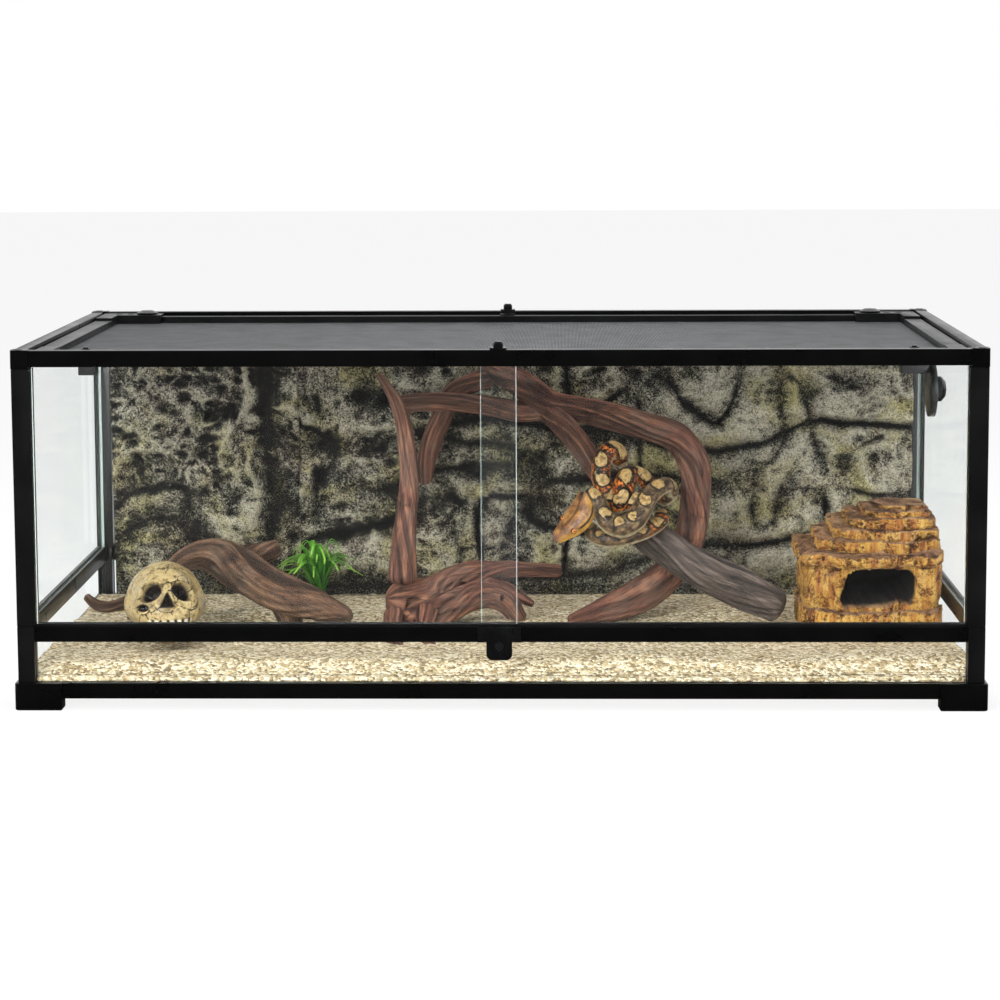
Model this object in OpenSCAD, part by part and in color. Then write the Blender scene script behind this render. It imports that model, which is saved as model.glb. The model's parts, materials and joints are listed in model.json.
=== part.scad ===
// Reptile terrarium: glass panes slotted into a moulded frame, two sliding
// front doors, a recessed screen lid and a furnished interior.
// Millimetres. Origin: centre of the footprint, on the floor. -Y is the front.

/* [Enclosure] */
// Width over the frame rails
tank_w = 1219; // [1150:1:1500]
// Depth over the frame rails
tank_d = 610; // [590:1:760]
// Height to the top of the rim
tank_h = 457; // [445:1:620]

/* [Glass] */
// Thickness of the fixed panes
glass_t = 5; // [4:0.5:6]
// Setback of the glass behind the frame's outer face
glass_inset = 5.5; // [5:0.25:6]
// Depth that a pane goes into its slot
bite = 6; // [4:0.5:6.5]
// Clearance round a pane in its slot
pane_gap = 0.2; // [0.1:0.05:0.3]
// Thickness of the sliding doors
door_t = 4; // [3:0.5:4.2]
// Overlap of the two doors at the middle
door_lap = 45; // [20:1:90]
// Gap between a closed door's edge and its post
door_side_gap = 1; // [0.5:0.5:4]
// Running gap under a door
door_run = 0.2; // [0.1:0.05:0.5]

/* [Feet] */
// Length of a foot's legs
foot_len = 60; // [45:1:80]
// Width of a foot's legs
foot_w = 26; // [25:0.5:34]
// Thickness of the pad under the rails
foot_pad = 14.5; // [8:0.5:25]
// Height of the outer skin above the pad
foot_skin = 20.5; // [8:0.5:20.5]
// How far the feet stand proud of the rails
foot_proud = 4.5; // [3:0.5:8]
// Radius of a foot's outer corner
foot_r = 6; // [2:0.5:12]

/* [Frame] */
// Height of the base rails
base_h = 20; // [18:0.5:30]
// Width of the base rails
base_t = 20; // [18:0.5:24]
// Width of the ledge that carries the floor pane
floor_ledge = 8; // [4:0.5:14]
// Height of the floor ledge
floor_ledge_h = 5; // [3:0.5:8]
// Side of the square lower posts
lower_post = 21.5; // [19:0.5:24]
// Side of the square upper posts
upper_post = 24; // [22:0.5:30]
// Underside of the middle rails
mid_z = 87.5; // [80:0.5:130]
// Height of the middle rails
mid_h = 23; // [20:0.5:30]
// Width of the side and rear middle rails
mid_t = 14; // [12:0.5:18]
// Depth of the front sill, front to back
sill_t = 22; // [18:0.5:26]
// Drop of the front sill's body below the middle rails' top
sill_drop = 3.5; // [2:0.5:6]
// Height of the top rails
top_h = 20.5; // [19:0.5:26]
// Width of the rim
rim_t = 16; // [15:0.5:20]
// Width of the ledge under the lid
lid_ledge = 21; // [14:0.5:26]
// Thickness of the lid ledge
lid_ledge_h = 3.5; // [2:0.25:5]
// Height of a corner cap
cap_h = 23.8; // [22:0.2:30]
// How far a corner cap stands proud of the rails
cap_proud = 0.8; // [0.4:0.1:2]
// Radius of a corner cap's outer corner
cap_r = 4; // [1:0.5:8]
// Radius of a cap's screw plugs
plug_r = 5.5; // [3:0.5:6]
// Height of a plug above its cap
plug_h = 0.7; // [0.3:0.1:2]

/* [Door tracks] */
// Width of a track, front to back
track_w = 13.8; // [13:0.1:14.5]
// Width of a track groove
groove_w = 4.6; // [4.5:0.1:5]
// Thickness of the frame in front of a track
track_skin = 1.2; // [0.8:0.1:2]
// Height of a track
track_h = 12.5; // [10:0.5:14]
// Thickness of a track's web
track_web = 1.8; // [1:0.1:3]
// Clearance of a track in its pocket
track_gap = 0.1; // [0.05:0.05:0.2]
// Depth of door glass in the upper track
door_top_bite = 10; // [6:0.5:10.5]

/* [Lock] */
// Width of the lock bracket
lock_w = 55.4; // [40:0.2:80]
// Thickness of the lock bracket
lock_t = 2.2; // [1.5:0.1:4]
// Width of the lock tab
tab_w = 32.6; // [26:0.2:38]
// Thickness of the lock tab
tab_t = 4.5; // [3:0.5:4.5]
// Drop of the lock tab below the middle rail
tab_drop = 22.5; // [18:0.5:30]
// Radius of the key barrel
barrel_r = 5.6; // [4:0.1:7]
// Distance of the barrel's axis below the middle rail
barrel_drop = 4.5; // [4:0.5:8]
// Radial running clearance of turning parts
run_gap = 0.05; // [0.02:0.01:0.1]
// Reach of the lock cam
cam_len = 12; // [8:0.5:12]
// Thickness of the lock cam
cam_t = 2; // [1:0.25:3]

/* [Lid] */
// Gap between the lid and the rim
lid_gap = 3.5; // [1:0.5:5]
// Width of the lid bars
bar_w = 23; // [18:0.5:30]
// Height of the lid bars
bar_h = 12; // [9:0.5:14]
// Length of a lid corner piece's legs
corner_len = 86; // [80:1:110]
// Width of a rear corner piece's long leg
rear_leg_w = 36; // [34:0.5:44]
// Extra height of the front corner pieces
front_step = 0.8; // [0.4:0.1:2]
// Extra height of the rear corner pieces
rear_step = 3.5; // [2:0.5:6]
// Thickness of the screen
mesh_t = 1; // [0.5:0.1:1.5]
// Height of the screen above the lid's underside
mesh_z = 2; // [1:0.5:6]
// Depth that the screen goes into its bars
mesh_bite = 4; // [2:0.5:8]

/* [Lid hardware] */
// Width of the centre clips
clip_w = 21; // [16:1:40]
// Thickness of the centre clips
clip_t = 2; // [1.5:0.1:3]
// Radius of a thumb screw's head
thumb_r = 6.25; // [5:0.25:8]
// Height of a thumb screw's head
thumb_h = 7.8; // [5:0.2:12]
// Radius of a thumb screw's shank
shank_r = 2; // [1.5:0.1:2.5]
// Depth of a thumb screw's shank in the rim
shank_in = 7; // [4:0.5:7.2]
// Distance of a thumb screw's axis behind the outer face
thumb_inset = 8; // [7:0.5:9]
// Length of a latch plate
latch_len = 43; // [36:1:60]
// Width of a latch plate
latch_w = 15; // [13:0.5:18]
// Thickness of a latch plate
latch_t = 2.2; // [1:0.1:4]
// Distance of a latch plate's outer end from the lid's edge
latch_edge = 59; // [50:1:80]
// Travel of a latch bolt
latch_travel = 12; // [6:0.5:16]
// Width of a latch bolt
bolt_w = 8; // [6:0.5:10]
// Height of a latch bolt
bolt_h = 3; // [2:0.5:4]
// Radius of a latch knob
latch_knob_r = 6; // [4:0.5:7]
// Radius of a cable hole
cable_r = 5.5; // [3:0.5:6]
// Distance between the two cable holes
cable_pitch = 17; // [13:0.5:20]
// Distance of the shutter's axis from the lid's side edge
shutter_edge = 64; // [60:1:68]
// Distance of the shutter's axis from the lid's rear edge
shutter_in = 17; // [16:0.5:19]
// Radius of a shutter knob
knob_r = 15; // [12:0.5:15.5]
// Height of a shutter knob
knob_h = 5.5; // [4:0.5:10]
// Length of a shutter arm from its axis
arm_len = 48; // [44:1:52]
// Width of a shutter arm
arm_w = 14; // [12:0.5:16]
// Thickness of a shutter arm
arm_t = 2.5; // [1.5:0.25:3]

/* [Side port] */
// Distance of the port's axis behind the middle
port_y = 112; // [60:1:160]
// Distance of the port's axis below the rim
port_drop = 96; // [80:1:140]
// Radius of the port's inner flange
flange_r = 39; // [24:1:45]
// Thickness of the port's inner flange
flange_t = 8.5; // [4:0.5:9]
// Radius of the port's outer cap
port_cap_r = 17.5; // [15:0.5:30]
// Radius of the port's hole in the glass
port_hole_r = 12; // [9:0.5:13]
// Radius of the cap's stem
stem_r = 6; // [4:0.5:7]

/* [Top brackets] */
// Distance of the brackets' middle behind the tank's middle
bracket_y = 110; // [60:1:150]
// Length of the brackets, front to back
bracket_l = 30; // [20:1:50]
// Drop of the brackets below the top rail
bracket_drop = 52.5; // [30:0.5:60]
// Width of the left bracket
bracket_w_left = 24; // [22:1:40]
// Width of the right bracket
bracket_w_right = 39; // [24:1:50]

/* [Furnishing] */
// Depth of sand over the floor pane
sand_depth = 21; // [15:0.5:30]
// Height of the sand's dunes above that
dune_h = 14; // [4:1:24]
// Thickness of the background panels without their relief
panel_t = 12; // [8:1:20]
// Depth of the background's relief
relief_d = 26; // [10:1:30]
// Height over the sand at which the relief starts
relief_foot = 8; // [8:1:30]
// Distance over which the sand falls towards the background
sand_fall = 45; // [38:1:80]
// Gap between the background and the lid ledge
panel_drop = 11.5; // [5:0.5:60]
// Distance of the background's seam from the left face
seam_from_left = 304.5; // [200:0.5:400]
// Distance of the root's middle from the left face
root_from_left = 200; // [190:1:260]
// Distance of the skull's middle from the left face
skull_from_left = 160; // [120:1:170]
// Distance of the grass tuft from the left face
plant_from_left = 340; // [300:1:360]
// Distance of the cave's right side from the right face
cave_from_right = 14; // [13:1:34]
// Width of the cave, also its depth
cave_w = 192; // [150:1:194]
// Distance of the grey limb's foot from the cave's left side
limb_from_cave = 23.5; // [23:0.5:40]
// Height of the cave above the sand
cave_h = 170; // [130:1:200]
// Width of the cave's mouth
mouth_w = 91; // [60:1:110]
// Height of the cave's mouth
mouth_h = 45; // [34:1:54]
// Height of the mouth's sill above the sand
mouth_sill = 50; // [40:1:60]
// Rounding of the mouth's corners
mouth_r = 10; // [6:1:14]
// Radius of the snake's body
snake_r = 12; // [8:0.5:13]

/* [Hidden] */
$fn = 48;
eps = 0.01;

hx = tank_w / 2;
hy = tank_d / 2;
base_top = foot_pad + base_h;
mid_top = mid_z + mid_h;
sill_top = mid_top - sill_drop;
top_z = tank_h - top_h;
cap_z = tank_h + cap_proud - cap_h;
glass_x = hx - glass_inset - glass_t;      // inner face of the side glass
glass_y = hy - glass_inset - glass_t;      // inner face of the rear glass
low_x = hx - lower_post;                   // inner faces of the posts
low_y = hy - lower_post;
up_x = hx - upper_post;
up_y = hy - upper_post;
floor_top = foot_pad + floor_ledge_h + glass_t;
track_y = -hy + track_skin + track_w / 2;  // middle of the door tracks
groove_pitch = groove_w + (track_w - 2 * groove_w) / 3;
sill_floor = mid_top - track_h;            // seat of the lower track
door_z0 = sill_floor + track_web + door_run;
door_z1 = top_z + door_top_bite;
door_w = up_x - door_side_gap + door_lap / 2;
lid_x = hx - rim_t - lid_gap;              // outer edges of the lid
lid_y = hy - rim_t - lid_gap;
lid_z = top_z + lid_ledge_h;
lid_top = lid_z + bar_h;
screen_z = lid_z + mesh_z;
shutter_x = lid_x - shutter_edge;
shutter_y = lid_y - shutter_in;
arm_gap = 0.4;
ledge_x = shutter_x - arm_len - arm_w - 8;   // the ledge stays clear of the shutter arms
ledge_y = lid_y - corner_len - 5;
cave_x = hx - cave_from_right - cave_w / 2;   // middle of the cave
limb_foot_x = cave_x - cave_w / 2 - limb_from_cave;
port_z = tank_h - port_drop;
barrel_z = mid_z - barrel_drop;
sand_z = floor_top + sand_depth;           // mean level that the furnishing stands on

frame_black = [0.07, 0.07, 0.075];
frame_grey = [0.16, 0.16, 0.17];
glass_tint = [0.78, 0.86, 0.86, 0.35];
steel = [0.55, 0.55, 0.57];
wood_brown = [0.42, 0.28, 0.21];
wood_grey = [0.36, 0.32, 0.30];

// ---- helpers ----
module box(b) translate(b[0]) cube(b[1] - b[0]);
function grow(b, g) = [b[0] - [g, g, g], b[1] + [g, g, g]];
module flip_x(s) mirror([s < 0 ? 1 : 0, 0, 0]) children();
module flip_y(s) mirror([0, s < 0 ? 1 : 0, 0]) children();
module corner(sx, sy) flip_x(sx) flip_y(sy) children();
module four() for (sx = [-1, 1], sy = [-1, 1]) corner(sx, sy) children();

// rectangle with its +X +Y corner rounded
module round_corner(w, d, r) {
  square([w - r, d]);
  square([w, d - r]);
  translate([w - r, d - r]) circle(r);
}
module rod_x(r, l) rotate([0, 90, 0]) cylinder(r = r, h = l);
module rod_y(r, l) rotate([-90, 0, 0]) cylinder(r = r, h = l);

// repeatable noise, 0 to 1
function hash(i, j) = let (v = sin(i * 127.1 + j * 311.7 + 7) * 4375.85) v - floor(v);
function fade(t) = t * t * (3 - 2 * t);
function noise(x, y) = let (i = floor(x), j = floor(y), u = fade(x - i), v = fade(y - j),
    a = hash(i, j), b = hash(i + 1, j), c = hash(i, j + 1), d = hash(i + 1, j + 1))
  a + (b - a) * u + (c - a) * v + (a - b - c + d) * u * v;
function clamp(v, lo, hi) = max(lo, min(hi, v));

// block over a rectangle with a surface of height f(u, v)
module relief_block(u0, u1, v0, v1, nu, nv, base, f) {
  ring = concat([for (i = [0:nu - 1]) [i, 0]], [for (j = [0:nv - 1]) [nu, j]],
    [for (i = [0:nu - 1]) [nu - i, nv]], [for (j = [0:nv - 1]) [0, nv - j]]);
  n = len(ring);
  top = [for (j = [0:nv], i = [0:nu]) let (u = u0 + (u1 - u0) * i / nu, v = v0 + (v1 - v0) * j / nv)
    [u, v, f(u, v)]];
  low = [for (r = ring) [u0 + (u1 - u0) * r[0] / nu, v0 + (v1 - v0) * r[1] / nv, base]];
  middle = [[(u0 + u1) / 2, (v0 + v1) / 2, base]];
  m = len(top);
  function at(i, j) = j * (nu + 1) + i;
  polyhedron(points = concat(top, low, middle), faces = concat(
    [for (j = [0:nv - 1], i = [0:nu - 1]) [at(i, j), at(i + 1, j + 1), at(i + 1, j)]],
    [for (j = [0:nv - 1], i = [0:nu - 1]) [at(i, j), at(i, j + 1), at(i + 1, j + 1)]],
    [for (k = [0:n - 1]) let (a = ring[k], b = ring[(k + 1) % n])
      [at(a[0], a[1]), at(b[0], b[1]), m + (k + 1) % n, m + k]],
    [for (k = [0:n - 1]) [m + k, m + (k + 1) % n, m + n]]), convexity = 6);
}

// limb of round cross sections along a smooth curve; points are [x, y, z, radius]
function bend(a, b, c, d, t) = 0.5 * ((2 * b) + (c - a) * t + (2 * a - 5 * b + 4 * c - d) * t * t
  + (3 * b - a - 3 * c + d) * t * t * t);
function curve(p, n) = [for (i = [0:len(p) - 2], s = [0:n - 1])
    bend(p[max(0, i - 1)], p[i], p[i + 1], p[min(len(p) - 1, i + 2)], s / n), p[len(p) - 1]];
module ball(p, sides = 8) translate([p[0], p[1], p[2]]) sphere(r = p[3], $fn = sides);
module limb(p, n = 2, sides = 8) {
  c = curve(p, n);
  for (i = [0:len(c) - 2]) hull() { ball(c[i], sides); ball(c[i + 1], sides); }
}

// ---- glass ----
lower_side = [[glass_x, -low_y - bite, base_top - bite], [glass_x + glass_t, low_y + bite, mid_z + bite]];
upper_side = [[glass_x, -up_y - bite, mid_top - bite], [glass_x + glass_t, up_y + bite, top_z + bite]];
lower_rear = [[-low_x - bite, glass_y, base_top - bite], [low_x + bite, glass_y + glass_t, mid_z + bite]];
upper_rear = [[-up_x - bite, glass_y, mid_top - bite], [up_x + bite, glass_y + glass_t, top_z + bite]];

// every slot that a fixed pane stands in
module glass_slots() {
  for (s = [-1, 1]) flip_x(s) {
    box(grow(lower_side, pane_gap));
    box(grow(upper_side, pane_gap));
  }
  for (s = [-1, 1]) flip_y(s) box(grow(lower_rear, pane_gap));
  box(grow(upper_rear, pane_gap));
}
module lower_front_pane() color(glass_tint) flip_y(-1) box(lower_rear);
module lower_panes() color(glass_tint) {
  box(lower_rear);
  for (s = [-1, 1]) flip_x(s) box(lower_side);
}
module side_pane_left() color(glass_tint) flip_x(-1) box(upper_side);
module side_pane_right() color(glass_tint) difference() {
  box(upper_side);
  translate([glass_x - 1, port_y, port_z]) rod_x(port_hole_r + pane_gap, glass_t + 2);
}
module rear_pane() color(glass_tint) box(upper_rear);
module floor_pane() color(glass_tint)
  translate([0, 0, foot_pad + floor_ledge_h + glass_t / 2])
    cube([tank_w - 2 * base_t - 1, tank_d - 2 * base_t - 1, glass_t], center = true);

// ---- feet ----
module foot_plan() {
  ox = hx + foot_proud;
  oy = hy + foot_proud;
  difference() {
    translate([ox - foot_len, oy - foot_len]) round_corner(foot_len, foot_len, foot_r);
    translate([ox - foot_len - 1, oy - foot_len - 1]) square([foot_len - foot_w + 1, foot_len - foot_w + 1]);
  }
}
module foot(sx, sy) color(frame_black) corner(sx, sy) {
  linear_extrude(foot_pad) foot_plan();
  linear_extrude(foot_pad + foot_skin) difference() {
    foot_plan();
    square([hx, hy]);
  }
}

// ---- base rails ----
module base_front(s) color(frame_black) flip_y(s) difference() {
  union() {
    translate([-hx, hy - base_t, foot_pad]) cube([tank_w, base_t, base_h]);
    translate([-hx + base_t, hy - base_t - floor_ledge, foot_pad])
      cube([tank_w - 2 * base_t, floor_ledge + eps, floor_ledge_h]);
  }
  glass_slots();
}
module base_side(s) color(frame_black) flip_x(s) difference() {
  union() {
    translate([hx - base_t, -hy + base_t, foot_pad]) cube([base_t, tank_d - 2 * base_t, base_h]);
    translate([hx - base_t - floor_ledge, -hy + base_t + floor_ledge, foot_pad])
      cube([floor_ledge + eps, tank_d - 2 * (base_t + floor_ledge), floor_ledge_h]);
  }
  glass_slots();
}

// ---- posts ----
module lower_corner_posts() color(frame_grey) difference() {
  four() translate([low_x, low_y, base_top]) cube([lower_post, lower_post, sill_top - base_top]);
  glass_slots();
}
module upper_post(sx, sy) color(frame_grey) difference() {
  corner(sx, sy) translate([up_x, up_y, sill_top]) cube([upper_post, upper_post, cap_z - sill_top]);
  glass_slots();
}

// ---- middle rails ----
module mid_rail_front() color(frame_black) difference() {
  translate([-low_x, -hy, mid_z]) cube([2 * low_x, sill_t, mid_h - sill_drop]);
  translate([-low_x - 1, track_y - track_w / 2, sill_floor]) cube([2 * low_x + 2, track_w, track_h]);
  glass_slots();
  // pocket that the lock's cam turns in
  translate([0, -hy - 1, barrel_z]) rod_y(cam_len + 0.6, 1 + cam_t + 1.4);
}
module mid_bar(half_low, half_up, depth) {
  translate([-half_low, depth - mid_t, mid_z]) cube([2 * half_low, mid_t, mid_h - sill_drop]);
  translate([-half_up, depth - mid_t, mid_z]) cube([2 * half_up, mid_t, mid_h]);
}
module mid_rail_rear() color(frame_black) difference() {
  mid_bar(low_x, up_x, hy);
  glass_slots();
}
module mid_side(s) color(frame_black) flip_x(s) difference() {
  rotate([0, 0, -90]) mid_bar(low_y, up_y, hx);
  glass_slots();
}

// ---- top rails ----
module top_front(s) color(frame_black) difference() {
  flip_y(s) union() {
    translate([-low_x, hy - rim_t, top_z]) cube([2 * low_x, rim_t, top_h]);
    translate([-ledge_x, hy - rim_t - lid_ledge, top_z]) cube([2 * ledge_x, lid_ledge + eps, lid_ledge_h]);
  }
  glass_slots();
  if (s < 0) translate([-low_x - 1, track_y - track_w / 2, top_z - 1])
    cube([2 * low_x + 2, track_w, track_h + 1]);
  flip_y(s) translate([0, hy - thumb_inset, tank_h - shank_in - 0.5])
    cylinder(r = shank_r + run_gap, h = shank_in + 2);
}
module top_side(s) color(frame_black) flip_x(s) difference() {
  union() {
    translate([hx - rim_t, -low_y, top_z]) cube([rim_t, 2 * low_y, top_h]);
    translate([hx - rim_t - lid_ledge, -ledge_y, top_z]) cube([lid_ledge + eps, 2 * ledge_y, lid_ledge_h]);
  }
  glass_slots();
}
module top_corner_caps() color(frame_black) {
  w = lower_post + cap_proud;
  difference() {
    four() translate([low_x, low_y, cap_z]) linear_extrude(cap_h) round_corner(w, w, cap_r);
    four() translate([low_x - 1, low_y - 1, top_z])
      cube([lower_post - rim_t + 1, lower_post - rim_t + 1, cap_h]);
    glass_slots();
  }
  four() translate([hx - thumb_inset, hy - thumb_inset, tank_h + cap_proud]) cylinder(r = plug_r, h = plug_h);
}

// ---- door tracks and doors ----
module track() difference() {
  translate([-up_x + track_gap, -track_w / 2 + track_gap, 0])
    cube([2 * (up_x - track_gap), track_w - 2 * track_gap, track_h]);
  for (s = [-1, 1]) translate([-up_x, s * groove_pitch / 2 - groove_w / 2, track_web])
    cube([2 * up_x, groove_w, track_h]);
}
module lower_door_track() color(frame_grey) translate([0, track_y, sill_floor]) track();
module upper_door_track() color(frame_grey)
  translate([0, track_y, top_z + track_h]) mirror([0, 0, 1]) track();
module door(s) color(glass_tint)
  translate([s * (up_x - door_side_gap - door_w / 2), track_y + s * groove_pitch / 2,
    (door_z0 + door_z1) / 2])
    cube([door_w, door_t, door_z1 - door_z0], center = true);

// ---- lock ----
module lock_bracket() color([0.1, 0.1, 0.1]) difference() {
  union() {
    translate([-lock_w / 2, -hy - lock_t, mid_z]) cube([lock_w, lock_t, mid_h - sill_drop]);
    translate([0, -hy - tab_t, 0]) rotate([-90, 0, 0]) linear_extrude(tab_t) {
      translate([-tab_w / 2, -sill_top]) square([tab_w, sill_top - mid_z + tab_drop - tab_w / 4]);
      for (s = [-1, 1]) translate([s * tab_w / 4, tab_drop - mid_z - tab_w / 4]) circle(tab_w / 4);
      translate([-tab_w / 4, -mid_z]) square([tab_w / 2, tab_drop]);
    }
  }
  translate([0, -hy - tab_t - 1, barrel_z]) rod_y(barrel_r + run_gap, tab_t + 2);
}
module lock_barrel() color(steel) translate([0, -hy, barrel_z]) {
  difference() {
    translate([0, -tab_t, 0]) rod_y(barrel_r, tab_t - 0.2);
    translate([-0.6, -tab_t - 1, -barrel_r / 2]) cube([1.2, 3, barrel_r]);
  }
  translate([0, -0.2 - eps, 0]) rod_y(barrel_drop - 1, cam_t + 0.6);
  translate([-2, 0.3, 0]) cube([4, cam_t, cam_len]);
}

// ---- lid ----
module screen(g = 0) difference() {
  translate([-lid_x + bar_w - mesh_bite - g, -lid_y + bar_w - mesh_bite - g, screen_z - g])
    cube([2 * (lid_x - bar_w + mesh_bite + g), 2 * (lid_y - bar_w + mesh_bite + g), mesh_t + 2 * g]);
  // the screen is cut back round the solid rear corner pieces
  for (s = [-1, 1]) flip_x(s)
    translate([lid_x - corner_len + mesh_bite + g, lid_y - rear_leg_w + mesh_bite + g, screen_z - 1])
      cube([corner_len, rear_leg_w, mesh_t + 2]);
}
module lid_mesh() color([0.45, 0.46, 0.47]) screen();
module lid_long_bars() color(frame_grey) difference() {
  for (s = [-1, 1]) flip_y(s) translate([-lid_x + corner_len, lid_y - bar_w, lid_z])
    cube([2 * (lid_x - corner_len), bar_w, bar_h]);
  screen(0.1);
}
module lid_side_bars() color(frame_grey) difference() {
  for (s = [-1, 1]) flip_x(s) translate([lid_x - bar_w, -lid_y + corner_len, lid_z])
    cube([bar_w, 2 * (lid_y - corner_len), bar_h]);
  screen(0.1);
}
module lid_corner(rear) {
  leg = rear ? rear_leg_w : bar_w;
  h = bar_h + (rear ? rear_step : front_step);
  translate([lid_x - corner_len, lid_y - leg, lid_z]) cube([corner_len, leg, h]);
  translate([lid_x - bar_w, lid_y - corner_len, lid_z]) cube([bar_w, corner_len, h]);
}
module bolt_channel(sx) flip_x(sx)
  translate([bolt_x0 - latch_travel - 0.2, bolt_y - bolt_w / 2 - 0.1, bolt_z - 0.1])
  cube([lid_x, bolt_w + 0.2, bolt_h + 0.2]);
bolt_x0 = lid_x - corner_len + latch_travel + 0.5;
bolt_y = -lid_y + bar_w / 2;
bolt_z = lid_z + 5;
pin_x = bolt_x0 + 3.5;
module lid_corners() color(frame_grey) difference() {
  for (sx = [-1, 1]) {
    corner(sx, 1) lid_corner(true);
    corner(sx, -1) lid_corner(false);
  }
  screen(0.1);
  for (sx = [-1, 1]) {
    flip_x(sx) for (k = [0, 1]) translate([shutter_x + 24 + k * cable_pitch, shutter_y, lid_z - 1])
      cylinder(r = cable_r, h = 30);
    flip_x(sx) translate([shutter_x, shutter_y, lid_z - 1]) cylinder(r = 4 + run_gap, h = 30);
    bolt_channel(sx);
    flip_x(sx) translate([pin_x - latch_travel - 2.2, bolt_y - 2.2, bolt_z])
      cube([latch_travel + 4.4, 4.4, 20]);
  }
}
module lid_clip_plates() color(frame_black) {
  for (s = [-1, 1]) flip_y(s) difference() {
    union() {
      translate([-clip_w / 2, lid_y - bar_w * 0.7, lid_top]) cube([clip_w, bar_w * 0.7 + 1.5, clip_t]);
      translate([-clip_w / 2, lid_y + 0.5, lid_top]) cube([clip_w, 2, tank_h + 0.2 + clip_t - lid_top]);
      translate([-clip_w / 2, lid_y + 0.5, tank_h + 0.2]) cube([clip_w, hy - lid_y - 2, clip_t]);
    }
    translate([0, hy - thumb_inset, tank_h - 1]) cylinder(r = shank_r + run_gap, h = clip_t + 3);
  }
  // plates over the latch bolts
  for (s = [-1, 1]) flip_x(s) difference() {
    translate([lid_x - latch_edge - latch_len, bolt_y - latch_w / 2, lid_top + front_step])
      cube([latch_len, latch_w, latch_t]);
    translate([pin_x - latch_travel - 2.2, bolt_y - 2.2, lid_top]) cube([latch_travel + 4.4, 4.4, 20]);
  }
}
module latch_slider(s) color([0.12, 0.12, 0.12]) flip_x(s) {
  top = lid_top + front_step + latch_t;
  translate([bolt_x0, bolt_y - bolt_w / 2, bolt_z]) cube([lid_x - bolt_x0 - 0.2, bolt_w, bolt_h]);
  translate([pin_x, bolt_y, bolt_z]) cylinder(r = 2, h = top - bolt_z + 1);
  translate([pin_x, bolt_y, top + 0.2]) cylinder(r = latch_knob_r, h = 2);
  translate([pin_x, bolt_y, top + 2.2 - eps]) cylinder(r = latch_knob_r * 0.6, h = 1.6);
}
module thumb_screw(s) color([0.1, 0.1, 0.1]) flip_y(s) translate([0, hy - thumb_inset, 0]) {
  seat = tank_h + 0.2 + clip_t;
  translate([0, 0, tank_h - shank_in]) cylinder(r = shank_r, h = seat - tank_h + shank_in + 1);
  translate([0, 0, seat]) cylinder(r = thumb_r, h = thumb_h * 0.8);
  translate([0, 0, seat + thumb_h * 0.8 - eps]) cylinder(r = thumb_r * 0.8, h = thumb_h * 0.2);
}
module cable_shutter(s) color([0.1, 0.1, 0.1]) flip_x(s) translate([shutter_x, shutter_y, 0]) {
  top = lid_top + rear_step;
  translate([0, 0, lid_z - arm_gap - arm_t]) cylinder(r = 4, h = top - lid_z + arm_gap + arm_t + 0.5);
  translate([0, 0, top + 0.1]) cylinder(r = knob_r, h = knob_h * 0.45);
  translate([0, 0, top + knob_h * 0.45]) cylinder(r1 = knob_r, r2 = knob_r * 0.55, h = knob_h * 0.55);
  // arm under the lid, here swung inward so that the cable holes are open
  translate([0, 0, lid_z - arm_gap - arm_t]) {
    translate([-arm_len + arm_w / 2, -arm_w / 2, 0]) cube([arm_len - arm_w / 2, arm_w, arm_t]);
    translate([-arm_len + arm_w / 2, 0, 0]) cylinder(r = arm_w / 2, h = arm_t);
    cylinder(r = arm_w / 2, h = arm_t);
  }
}

// ---- side port and brackets ----
module side_port_flange() color(frame_black) translate([glass_x, port_y, port_z]) difference() {
  union() {
    translate([-flange_t, 0, 0]) rod_x(flange_r, flange_t);
    translate([-eps, 0, 0]) rod_x(port_hole_r, glass_t + eps);
  }
  translate([-flange_t + 3, 0, 0]) rod_x(stem_r + run_gap, flange_t + glass_t);
}
module side_port_cap() color(frame_black) translate([glass_x + glass_t + 0.2, port_y, port_z]) {
  translate([-glass_t - flange_t + 4, 0, 0]) rod_x(stem_r, glass_t + flange_t);
  rod_x(port_cap_r, 4);
  rim = hx + foot_proud - glass_x - glass_t - 0.2;
  translate([4 - eps, 0, 0]) rotate([0, 90, 0])
    cylinder(r1 = port_cap_r, r2 = port_cap_r * 0.62, h = rim - 4);
  translate([4, -port_cap_r * 0.75, -1.5]) cube([rim - 4, port_cap_r * 1.5, 3]);
}
module side_top_brackets() color(frame_black) {
  translate([-glass_x + 1, bracket_y - bracket_l / 2, top_z - bracket_drop])
    cube([bracket_w_left, bracket_l, bracket_drop]);
  translate([glass_x - flange_t - 0.5 - bracket_w_right, bracket_y - bracket_l / 2, top_z - bracket_drop])
    cube([bracket_w_right, bracket_l, bracket_drop]);
}

// ---- background ----
panel_back = up_y - 1;
panel_face = panel_back - panel_t;
function rock(x, z) = let (foot = clamp((z - sand_z - relief_foot) / 30, 0, 1),
    big = noise(x / 130 + 9, z / 62), mid = noise(x / 47 + 3, z / 34 + 5))
  foot * relief_d * clamp(0.15 + 0.75 * big + 0.35 * (mid - 0.4), 0, 1);
module panel(x0, x1, n) color([0.33, 0.33, 0.27]) rotate([90, 0, 0])
  relief_block(x0, x1, floor_top + 0.1, top_z - panel_drop, n, 14, -panel_back,
    function(x, z) -panel_face + rock(x, z));
seam_x = -hx + seam_from_left;
module background_left() panel(-hx + 29.5, seam_x - 0.5, 10);
module background_right() panel(seam_x + 0.5, hx - 21.5, 30);

// ---- sand ----
function dune(x, y) = sand_z - 5 + dune_h * clamp((panel_face - y) / sand_fall, 0, 1)
  * clamp(1.1 * noise(x / 170 + 4, y / 110 + 2) + 0.35 * clamp((-y - 60) / 220, 0, 1), 0, 1.2);
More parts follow.
